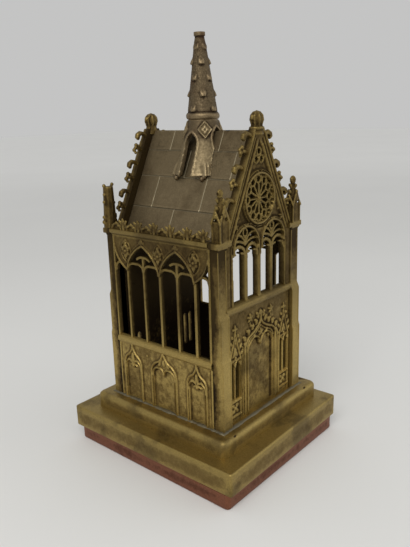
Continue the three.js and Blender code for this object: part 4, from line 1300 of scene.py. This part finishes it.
def gable_piers():
    """Stepped corner piers with fluted faces and heavy collars."""
    depths = (7.4, 6.6, 4.9)
    profile = [(0, FOOT), (depths[0], FOOT), (depths[0], 80.8), (depths[0] - 0.25, 81.5), (depths[1], 83.6),
               (depths[1], 108.3), (depths[1] - 0.25, 109.0), (depths[2], 112.2), (depths[2], 149.4),
               (depths[2] + 0.5, 150.1), (depths[2] + 1.2, 150.9), (depths[2] + 1.2, CORNICE_TOP - 1),
               (0, CORNICE_TOP - 1)]
    collar = [(0, 151.4), (depths[2] + 1.1, 151.4), (depths[2] + 1.4, 151.9), (depths[2] + 1.4, 154.2),
              (depths[2] + 1.1, CORNICE_TOP), (0, CORNICE_TOP)]
    parts = []
    for hand in (-1, 1):
        outer, inner = hand * HALF_X, hand * (HALF_X - PIER_WIDTH)
        ends = sorted((outer, inner))
        parts.append(moulding(profile, *ends))
        parts.append(moulding(collar, *sorted((hand * (HALF_X + 1.9), hand * 31.6))))
        for x in (HALF_X - 0.75, HALF_X - PIER_WIDTH + 0.75):
            stages = ((FOOT, 80.6, depths[0]), (84, 108, depths[1]), (112.5, 149.2, depths[2]))
            for low, high, depth in stages:
                line = [(hand * x, low, depth - 0.25), (hand * x, high, depth - 0.25)]
                parts.append(limb(line, [0.55, 0.55], 8))
    return joined(parts)


def crocket_parts(along, kind, hand):
    """One leaf of the gable edge: a long hook, or a knot of buds."""
    middle = WALL / 2

    def at(s, n, z=0.0):
        x, y = rake_point(along + s, n)
        return hand * x, y, middle + z

    if kind == "hook":
        path = [at(-0.4, -1), at(-0.7, 2.2), at(-0.1, 4.8), at(1.9, 6.2), at(3.7, 5.9), at(4.4, 4.5)]
        parts = [limb(path, [1.7, 1.35, 1.35, 1.45, 1.4, 0.85], 10, 1.25)]
        for z in (-1.1, 1.1):
            ridge = [at(0.1, 1.4, z * 0.7), at(0.5, 4.0, z), at(2.4, 5.2, z), at(3.9, 4.4, z * 0.8)]
            parts.append(limb(ridge, [0.5, 0.65, 0.7, 0.45], 8))
        parts.append(ball(*at(4.1, 4.7), 1.0, 1.0, 1.3))
        return parts
    parts = [limb([at(-0.2, -1), at(-0.4, 3.0)], [1.5, 1.2], 10, 1.2)]
    for s, n, z, r in ((-1.6, 4.7, 0.3, 1.45), (0.2, 5.2, -0.6, 1.35), (2.0, 4.9, 0.5, 1.45),
                       (3.3, 3.6, -0.2, 1.15), (0.4, 3.4, 1.5, 1.15), (0.6, 3.2, -1.5, 1.1),
                       (-1.9, 3.1, -0.6, 0.95)):
        parts.append(ball(*at(s, n, z), r, r * 0.85, r * 0.95, -63 * hand))
    return parts


def gable_crockets():
    parts = []
    for i in range(6):
        for hand in (-1, 1):
            parts += crocket_parts(16.5 + 10.1 * i, "buds" if i % 2 else "hook", hand)
    return parts


def apex_finial(collared):
    """A bud of folded leaves on a short neck."""
    z = WALL / 2
    parts = [limb([(0, 212.5, z), (0, 215.6, z), (0, 218.2, z)], [4.9, 4.3, 3.7], 16, 0.8)]
    parts.append(ball(0, 221.4, z, 4.6, 5.0, 3.7))
    for turn in range(22, 382, 45):
        c, s = cos_sin(turn)
        rib = [(c * 3.8, 217.8, z + s * 3.0), (c * 4.7, 220.8, z + s * 3.8), (c * 4.4, 223.4, z + s * 3.5),
               (c * 2.4, 225.6, z + s * 1.9)]
        parts.append(limb(rib, [0.4, 0.5, 0.5, 0.35], 8))
    for hand in (-1, 1):
        parts.append(ball(hand * 4.7, 222.4, z, 1.1, 1.7, 1.2, hand * 12))
    if collared:
        parts.append(limb([(0, 215.7, z), (0, 217.0, z)], [5.2, 5.2], 18, 0.82))
    return parts


def pinnacle_parts(x):
    """A square shaft with gablets, and a crocketed point that ends in a bud."""
    base = CORNICE_TOP - 0.4
    z = 3.8
    parts = [block(x - 4.1, x + 4.1, base, base + 12.4, z - 3.0, z + 3.0)]
    for side in (-1, 1):
        for out in (-1, 1):
            edge = [(x + side * 4.0, base, z + out * 2.9), (x + side * 4.0, base + 12, z + out * 2.9)]
            parts.append(limb(edge, [0.6, 0.6], 8))
        hood = [(x - 5.1, base + 11), (x - 4.2, base + 10.6), (x, base + 18), (x + 4.2, base + 10.6),
                (x + 5.1, base + 11), (x + 0.5, base + 20.5), (x - 0.5, base + 20.5)]
        parts.append(prism(hood, z + side * 3.0 - 0.6, z + side * 3.0 + 0.6))
        gable = [(x + side * 4.4, base + 11, z - 3.4), (x + side * 4.6, base + 18.6, z)]
        parts.append(limb(gable, [0.8, 0.7], 8))
        gable = [(x + side * 4.4, base + 11, z + 3.4), (x + side * 4.6, base + 18.6, z)]
        parts.append(limb(gable, [0.8, 0.7], 8))
    point = [(x, base + 11, z), (x, base + 19, z), (x, base + 26.4, z)]
    parts.append(limb(point, [3.3, 2.3, 1.2], 8))
    for level, radius, grip in ((15.5, 4.6, 1.25), (20.2, 3.4, 1.15), (24.0, 2.4, 0.95)):
        for turn in (0, 90, 180, 270):
            c, s = cos_sin(turn)
            depth = min(radius, 3.0)
            curl = [(x + c * radius * 0.5, base + level - 1.6, z + s * depth * 0.5),
                    (x + c * radius, base + level, z + s * depth),
                    (x + c * (radius + 0.5), base + level + 1.1, z + s * depth)]
            parts.append(limb(curl, [0.8, grip, grip * 0.75], 8))
    for turn in range(0, 360, 90):
        c, s = cos_sin(turn)
        parts.append(ball(x + c * 1.2, base + 28.0, z + s * 1.0, 1.35, 1.7, 1.25))
    parts.append(ball(x, base + 29.4, z, 1.5, 1.1, 1.4))
    parts.append(limb([(x, base + 26, z), (x, base + 26.7, z)], [1.9, 1.9], 10))
    return parts


def broken_pinnacle_parts(x):
    """A shaft whose point has broken off, leaving two stubs of leaf."""
    base = CORNICE_TOP - 0.4
    z = 3.8
    parts = [limb([(x + 2.6, base, z), (x + 2.6, base + 27, z)], [4.6, 3.5], 8, 0.9)]
    for dx, dy, r in ((-0.9, 28.0, 1.25), (5.9, 27.6, 1.3), (6.2, 22.0, 1.1), (6.6, 17.2, 1.2),
                      (-1.8, 16.0, 1.0), (-2.0, 8.0, 1.3)):
        parts.append(ball(x + dx, base + dy, z, r, r * 1.05, r))
    for dx in (-2.2, 6.6):
        for level, r in ((2.6, 2.1), (5.8, 1.7)):
            parts.append(limb([(x + dx * 0.7 + 0.8, base + level - 2, z), (x + dx, base + level + 1.4, z)],
                              [r * 0.7, r * 0.75], 8))
            parts.append(ball(x + dx * 1.1, base + level + 1.6, z + 0.5, r * 0.62, r * 0.7, r * 0.7))
    return parts


def make_gable_wall(name, node, quarter_turns, back):
    r = Relief(-HALF_X, HALF_X, FOOT, RAKE_TOP - 5 * RAKE_STEP + 0.2, WALL)
    r.keep(gable_outline())
    r.roughen(0.08, 0.95, 5 + quarter_turns)
    gable_field(r)
    paired_lights(r, back)
    rose_window(r)
    portal(r, back)
    small_windows(r, back)
    for hand in (-1, 1):
        r.groove(upright(hand * 34.4, FOOT, 107), 1.2, 0.9)
    place = standing(GABLE_INNER, quarter_turns)
    sill = [(1, 107.8), (WALL, 107.8), (WALL + 0.4, 108.4), (WALL + 1.1, 109.0), (WALL + 1.4, 109.6),
            (WALL + 1.4, 111.9), (WALL + 1.0, 112.5), (WALL - 2.6, 114.2), (1, 114.2)]
    pinnacles = pinnacle_parts(-38.4) + (broken_pinnacle_parts(38.4) if back else pinnacle_parts(38.4))
    ornaments = fused(gable_crockets() + apex_finial(not back) + pinnacles)
    shells = [
        cast(r, place),
        stood(gable_piers(), place),
        stood(moulding(sill, -36, 36), place),
        stood(ornaments, place),
    ]
    piece(name, shells, "wall_brass", node)


# ---------------------------------------------------------------- roof

COURSES = (202.6, 186.4, 167.2)
SLAB_JOINTS = ((-21.5, 19.0), (-3.0, 33.5), (-24.0, 16.5), (-4.0, 30.0))


def make_roof_slope(name, node, hand):
    """A sheet engraved with four courses of slabs, with its gutter."""
    eave, foot, sheet = EAVE, ROOF_FOOT, 1.6
    gutter = SIDE_INNER - GAP
    steep = math.atan2(RIDGE - foot, eave)
    length = math.hypot(RIDGE - foot, eave)
    half = SIDE_HALF
    width = bpy.context.scene.reliquary_casting.joint / MM
    r = Relief(-half, half, 0.2, length, sheet, cell=0.5)
    levels = [(z - foot) / math.sin(steep) for z in COURSES]
    r.face -= 0.12 * grains(r.x, r.y * 0.35, 9.0)
    for level in levels:
        r.groove([(-half, level), (half, level)], width * 1.3, 0.35, mark=0.55)
        w = r.window([(-half, level), (half, level)], 2.4)
        r.face[w] += 0.22 * ease(1 - (r.y[w] - level) / 2.2) * (r.y[w] > level)
    tops = [length] + levels
    for row, joints in enumerate(SLAB_JOINTS):
        low = levels[row] if row < len(levels) else 0.0
        for y in joints:
            r.groove([(y, low), (y, tops[row])], width, 0.25, mark=1.0)
    lean = math.cos(steep), math.sin(steep)

    def place(along, up, out):
        x = eave - up * lean[0] - (sheet - out) * lean[1]
        z = foot + up * lean[1] - (sheet - out) * lean[0]
        x = np.maximum(x, GAP / 2)
        return np.stack([hand * x, CENTRE_Y + along * hand, z], axis=-1)

    flat = prism(rectangle(eave - 1.6, -half, gutter, half), foot - sheet, foot)
    bent = np.stack([flat[0][:, 0] * hand, flat[0][:, 1] + CENTRE_Y, flat[0][:, 2]], axis=-1)
    faces = flat[1] if hand > 0 else [f[::-1] for f in flat[1]]
    piece(name, [cast(r, place), (bent, faces)], "roof_brass", node)


# ---------------------------------------------------------------- spire

SPIRE_Y = -2.4
RING_LOW, RING_HIGH = 221.5, 225.9
SPIRE_BASE, SPIRE_NECK, RIM_LOW = 9.3, 2.9, 270.4
SKIRT = ((8.9, 222.4), (11.4, 214.5), (13.2, 206.0), (16.2, 197.0), (19.6, 188.4))
CROCKET_ROWS = ((228.6, 0), (237.6, 1), (247.1, 0), (256.5, 1), (265.2, 0))


def spire_radius(z):
    return SPIRE_BASE + (SPIRE_NECK - SPIRE_BASE) * (z - RING_HIGH) / (RIM_LOW - RING_HIGH)


def round_place():
    """Wraps a relief round an upright axis: x is the angle in degrees and out is the radius."""
    lean = math.tan(bpy.context.scene.reliquary_casting.lean)

    def place(x, y, out):
        turn = np.radians(x)
        radius = np.maximum(out, 0.02)
        back = lean * np.maximum(y - RING_LOW, 0)
        middle = CENTRE_Y + SPIRE_Y + back
        return np.stack([radius * np.cos(turn), middle + radius * np.sin(turn), y], axis=-1)

    return place


def crocket_relief(r, angle_at, z, radius, reach=2.1):
    """A leaf that clings to the spire and curls out at its tip."""
    arc_length = np.radians((r.x - angle_at + 180) % 360 - 180) * radius
    up = r.y - z
    body = np.clip(1 - (arc_length / 1.9) ** 2, 0, 1) * ease((up + 2.6) / 0.7) * ease((3.4 - up) / 5.2)
    wings = np.clip(1 - ((np.abs(arc_length) - 1.5) / 0.9) ** 2, 0, 1)
    wings = wings * np.clip(1 - ((up + 0.3) / 1.9) ** 2, 0, 1)
    pit = np.exp(-((arc_length / 0.55) ** 2 + ((up - 1.2) / 0.9) ** 2))
    lift = reach * body + 0.4 * wings - 0.5 * pit * body
    r.face = np.where(lift > 0.02, np.maximum(r.face * 0.35 + lift, r.face), r.face)


def spire_body():
    """The granulated cone, its torus and its open rim."""
    c = bpy.context.scene.reliquary_casting
    r = Relief(0, 360, RING_LOW, SPIRE_TOP, 0.0, cell=0.42)
    columns = 132
    r.x, r.y = np.meshgrid(np.linspace(0, 360, columns + 1), r.y[:, 0])
    r.face, r.metal, r.mark = np.zeros(r.x.shape), np.full(r.x.shape, FAR), np.zeros(r.x.shape)
    r.step_x = 360 / columns
    base = spire_radius(np.clip(r.y, RING_HIGH, RIM_LOW))
    across = r.x / 360 * 2 * math.pi * SPIRE_BASE
    period = round(2 * math.pi * SPIRE_BASE / (c.grain / MM))
    pitch = 2 * math.pi * SPIRE_BASE / period
    grain = grains(across, r.y, pitch, period)
    r.face = 0.27 * grain * ease((r.y - RING_HIGH - 0.4) / 0.8) * ease((RIM_LOW - 0.8 - r.y) / 3)
    for z, kind in CROCKET_ROWS:
        for k in range(4):
            reach = 1.35 if z < 260 else 0.7
            crocket_relief(r, 90 * k + (45 if kind else 0), z, float(spire_radius(z)), reach)
    r.face += base
    ring = np.clip(1 - ((r.y - (RING_LOW + RING_HIGH) / 2) / 2.2) ** 2, 0, 1)
    in_ring = r.y < RING_HIGH
    r.face = np.where(in_ring, np.maximum(SPIRE_BASE - 0.2, SPIRE_BASE - 0.4 + 1.7 * np.sqrt(ring)), r.face)
    rim = SPIRE_NECK + 0.6 * ease((r.y - RIM_LOW) / 0.5)
    r.face = np.where(r.y > RIM_LOW, rim, r.face)
    r.back = SPIRE_NECK - 1.1
    return cast(r, round_place(), wrapped=True, flat_back=False)


def skirt_radius(z):
    heights = np.array([p[1] for p in SKIRT[::-1]])
    radii = np.array([p[0] for p in SKIRT[::-1]])
    return np.interp(z, heights, radii)


def lantern():
    """The hollow skirt on four legs, with a pointed opening on each side and a medallion on each leg."""
    wall = 2.2
    r = Relief(0, 360, SKIRT[-1][1], SKIRT[0][1], wall, cell=0.45)
    columns = 200
    r.x, r.y = np.meshgrid(np.linspace(0, 360, columns + 1), r.y[:, 0])
    r.face, r.metal, r.mark = np.full(r.x.shape, wall), np.full(r.x.shape, FAR), np.zeros(r.x.shape)
    radius = skirt_radius(r.y)
    for k, (half, spring, crown) in enumerate([(4.6, 206.5, 213.8), (4.6, 208.5, 217.0)] * 2):
        turn = np.radians((r.x - 90 * k + 180) % 360 - 180)
        across = np.sin(turn) * radius
        front = np.cos(turn) > 0.2
        head = pointed_head(half, 180, spring, crown, 0.14)
        gap = np.where(front, depth_inside(across, r.y, head), -FAR)
        r.metal = np.minimum(r.metal, -gap)
        lip = np.clip(1 - ((-gap - 0.8) / 0.7) ** 2, 0, 1) * (gap > -2.2)
        r.face += 0.55 * np.sqrt(lip)
    away = np.clip(np.abs((r.x % 90) - 45), 0, 45)
    across = np.radians(away) * radius
    grain = grains(r.x / 360 * 2 * math.pi * 14, r.y, 1.3, round(2 * math.pi * 14 / 1.3))
    plain = ease((r.metal - 1.4) / 0.8)
    r.face += 0.27 * grain * plain * ease((213.0 - r.y) / 4)
    diamond = across + np.abs(r.y - 215.6) * 0.85
    frame_line = np.clip(1 - ((diamond - 4.1) / 0.7) ** 2, 0, 1)
    r.face += 0.9 * np.sqrt(frame_line)
    signed = np.radians((r.x % 90) - 45) * radius
    for du, dv in ((1.35, 0), (-1.35, 0), (0, 1.6), (0, -1.6)):
        petal = np.clip(1 - ((signed - du) / 1.15) ** 2 - ((r.y - 215.6 - dv) / 1.3) ** 2, 0, 1)
        r.face += 1.15 * np.sqrt(petal)
    r.mark = np.maximum(0.75 * ease((4.9 - diamond) / 0.6), 0.6 * ease((211.0 - r.y) / 4.0))
    foot_leaf = np.clip(1 - (across / 3.0) ** 2, 0, 1) * ease((197.5 - r.y) / 4.0)
    r.face += 1.6 * foot_leaf * (1 - 0.45 * np.exp(-((across / 0.5) ** 2)))
    slope = ROOF_SLOPE

    def place(x, y, out):
        turn = np.radians(x)
        reach = skirt_radius(y) - wall + out
        px, py = reach * np.cos(turn), reach * np.sin(turn)
        lowest = RIDGE + 0.5 - slope * np.abs(px)
        return np.stack([px, CENTRE_Y + SPIRE_Y + py, np.maximum(y, lowest)], axis=-1)

    outer = place(r.x, r.y, r.face)
    on_roof = outer[..., 2] - (RIDGE + 0.5 - slope * np.abs(outer[..., 0]))
    r.metal = np.minimum(r.metal, np.where(on_roof > 1e-4, on_roof, -0.2))
    return cast(r, place, wrapped=True, flat_back=False)


def lantern_feet():
    """The curled leaf on which each leg ends, lying on the slope of the roof."""
    parts = []
    slope = ROOF_SLOPE
    for sx in (-1, 1):
        for sy in (-1, 1):
            x, y = sx * 13.9, sy * 10.2
            for dx, dy, r in ((-0.8, 0.6, 2.1), (0.3, -1.5, 1.8), (0.6, 1.9, 1.7), (1.4, 0.3, 1.6)):
                px, py = x + sx * dx, y + sy * dy
                pz = RIDGE - slope * abs(px) + 2.3
                parts.append((ball(0, 0, 0, r, r * 0.9, r * 1.15)[0] + (px, py, pz), BALL[1]))
    verts, faces = fused(parts)
    lowest = RIDGE + 0.4 - slope * np.abs(verts[:, 0])
    verts[:, 2] = np.maximum(verts[:, 2], lowest)
    return verts + (0, CENTRE_Y + SPIRE_Y, 0), faces


def make_spire():
    closing = limb([(0, 0, RING_LOW + 0.2), (0, 0, RING_LOW + 0.9)], [SPIRE_BASE - 0.3, SPIRE_BASE - 0.3], 48)
    floor = closing[0] + (0, CENTRE_Y + SPIRE_Y, 0), closing[1]
    piece("spire_finished", [spire_body(), lantern(), lantern_feet(), floor],
          "spire_brass", "spire", weld=True)


# ---------------------------------------------------------------- floor, light and camera


def make_stage():
    studio = bpy.context.scene.reliquary_studio
    scene = bpy.context.scene
    material, w, shader = new_material("studio_floor")
    place = w.add("ShaderNodeTexCoord").outputs["Object"]
    haze = w.cloud(place, 3.0, 2.0)
    pale = tuple(studio.floor)
    dim, light = tuple(0.97 * v for v in pale), tuple(1.03 * v for v in pale)
    w.feed(shader.inputs["Base Color"], w.blend(haze, dim, light))
    shader.inputs["Roughness"].default_value = 0.85
    away = w.add("ShaderNodeVectorMath", {0: place}, operation="LENGTH").outputs["Value"]
    w.feed(shader.inputs["Emission Color"], (1.0, 1.0, 0.99))
    w.feed(shader.inputs["Emission Strength"], w.span(away, 0.5, 2.6, 0.0, 0.10))
    mesh = bpy.data.meshes.new("studio_floor")
    reach = 6.0
    mesh.from_pydata([(-reach, -reach, 0), (reach, -reach, 0), (reach, reach, 0), (-reach, reach, 0)], [],
                     [(0, 1, 2, 3)])
    mesh.materials.append(material)
    floor = bpy.data.objects.new("studio_floor", mesh)
    floor.location.z = FRAME_BOUNDS[0][2] - 0.05 * MM
    scene.collection.objects.link(floor)

    world = bpy.data.worlds.new("studio_room")
    world.use_nodes = True
    world.node_tree.nodes["Background"].inputs["Color"].default_value = (0.985, 0.985, 0.98, 1)
    world.node_tree.nodes["Background"].inputs["Strength"].default_value = studio.sky
    scene.world = world

    def soft_light(name, place, aim, width, watts, colour):
        lamp = bpy.data.lights.new(name, "AREA")
        lamp.size = width
        lamp.energy = watts
        lamp.color = colour
        obj = bpy.data.objects.new(name, lamp)
        obj.location = place
        obj.rotation_euler = (Vector(aim) - Vector(place)).to_track_quat("-Z", "Y").to_euler()
        scene.collection.objects.link(obj)

    soft_light("window_light", (-0.75, -0.35, 0.95), (0, 0, 0.12), 0.8, studio.key, (1.0, 0.985, 0.96))
    soft_light("room_fill", (0.7, -0.9, 0.5), (0, 0, 0.1), 0.9, studio.key * 0.28, (0.96, 0.98, 1.0))

    azimuth, elevation, roll = studio.azimuth, studio.elevation, studio.roll
    back = Vector((math.sin(azimuth) * math.cos(elevation), -math.cos(azimuth) * math.cos(elevation),
                   math.sin(elevation)))
    aim = Vector((0.38 * MM, -2.25 * MM, studio.aim))
    right = Vector((math.cos(azimuth), math.sin(azimuth), 0))
    above = back.cross(right)
    turned_right = right * math.cos(roll) + above * math.sin(roll)
    turned_up = back.cross(turned_right)
    view = Matrix((turned_right, turned_up, back)).transposed().to_4x4()
    view.translation = aim + back * studio.distance
    lens = bpy.data.cameras.new("studio_camera")
    lens.lens = studio.lens
    lens.clip_start = 0.01
    camera = bpy.data.objects.new("studio_camera", lens)
    camera.matrix_world = view
    scene.collection.objects.link(camera)
    scene.camera = camera
    scene.view_settings.view_transform = "Standard"


# ---------------------------------------------------------------- operators, panel and main


class RELIQUARY_OT_finishes(bpy.types.Operator):
    """Makes the node groups and the tarnished metals."""

    bl_idname = "reliquary.finishes"
    bl_label = "Finishes"

    def execute(self, context):
        make_groups()
        make_materials()
        return {"FINISHED"}


class RELIQUARY_OT_base(bpy.types.Operator):
    """Makes the copper plate and the two brass steps."""

    bl_idname = "reliquary.base"
    bl_label = "Plate and steps"

    def execute(self, context):
        make_base()
        return {"FINISHED"}


class RELIQUARY_OT_arcades(bpy.types.Operator):
    """Makes the two arcaded side walls."""

    bl_idname = "reliquary.arcades"
    bl_label = "Arcaded walls"

    def execute(self, context):
        make_arcade_wall("left_arcade_finished", "left_arcade_wall", -1)
        make_arcade_wall("right_arcade_finished", "right_arcade_wall", 1)
        return {"FINISHED"}


class RELIQUARY_OT_gables(bpy.types.Operator):
    """Makes the portal front and the plainer back gable."""

    bl_idname = "reliquary.gables"
    bl_label = "Gable walls"

    def execute(self, context):
        make_gable_wall("front_gable_finished", "front_gable_wall", 0, False)
        make_gable_wall("back_gable_finished", "back_gable_wall", 2, True)
        return {"FINISHED"}


class RELIQUARY_OT_roof(bpy.types.Operator):
    """Makes the two engraved slopes of the roof."""

    bl_idname = "reliquary.roof"
    bl_label = "Roof"

    def execute(self, context):
        make_roof_slope("left_roof_finished", "left_roof_slope", -1)
        make_roof_slope("right_roof_finished", "right_roof_slope", 1)
        return {"FINISHED"}


class RELIQUARY_OT_spire(bpy.types.Operator):
    """Makes the lantern on its four legs and the broken spire."""

    bl_idname = "reliquary.spire"
    bl_label = "Spire"

    def execute(self, context):
        make_spire()
        return {"FINISHED"}


class RELIQUARY_OT_stage(bpy.types.Operator):
    """Makes the pale floor, the soft lights and the camera."""

    bl_idname = "reliquary.stage"
    bl_label = "Studio"

    def execute(self, context):
        make_stage()
        return {"FINISHED"}


OPERATORS = (
    RELIQUARY_OT_finishes,
    RELIQUARY_OT_stage,
    RELIQUARY_OT_base,
    RELIQUARY_OT_arcades,
    RELIQUARY_OT_gables,
    RELIQUARY_OT_roof,
    RELIQUARY_OT_spire,
)


class RELIQUARY_PT_panel(bpy.types.Panel):
    """Lists the pieces of the reliquary and their sizes."""

    bl_label = "Reliquary"
    bl_space_type = "VIEW_3D"
    bl_region_type = "UI"
    bl_category = "Reliquary"

    def draw(self, context):
        for operator in OPERATORS:
            self.layout.operator(operator.bl_idname)
        for group in (context.scene.reliquary_casting, context.scene.reliquary_finish,
                      context.scene.reliquary_studio):
            column = self.layout.column()
            for key in type(group).__annotations__:
                column.prop(group, key)


GROUPS = {
    "reliquary_casting": ReliquaryCasting,
    "reliquary_finish": ReliquaryFinish,
    "reliquary_studio": ReliquaryStudio,
}


def register():
    for name, group in GROUPS.items():
        bpy.utils.register_class(group)
        setattr(bpy.types.Scene, name, bpy.props.PointerProperty(type=group))
    for cls in (*OPERATORS, RELIQUARY_PT_panel):
        bpy.utils.register_class(cls)


def unregister():
    for cls in (RELIQUARY_PT_panel, *reversed(OPERATORS)):
        bpy.utils.unregister_class(cls)
    for name, group in GROUPS.items():
        delattr(bpy.types.Scene, name)
        bpy.utils.unregister_class(group)


def main():
    register()
    for operator in OPERATORS:
        group, word = operator.bl_idname.split(".")
        getattr(getattr(bpy.ops, group), word)()


if __name__ == "__main__":
    main()
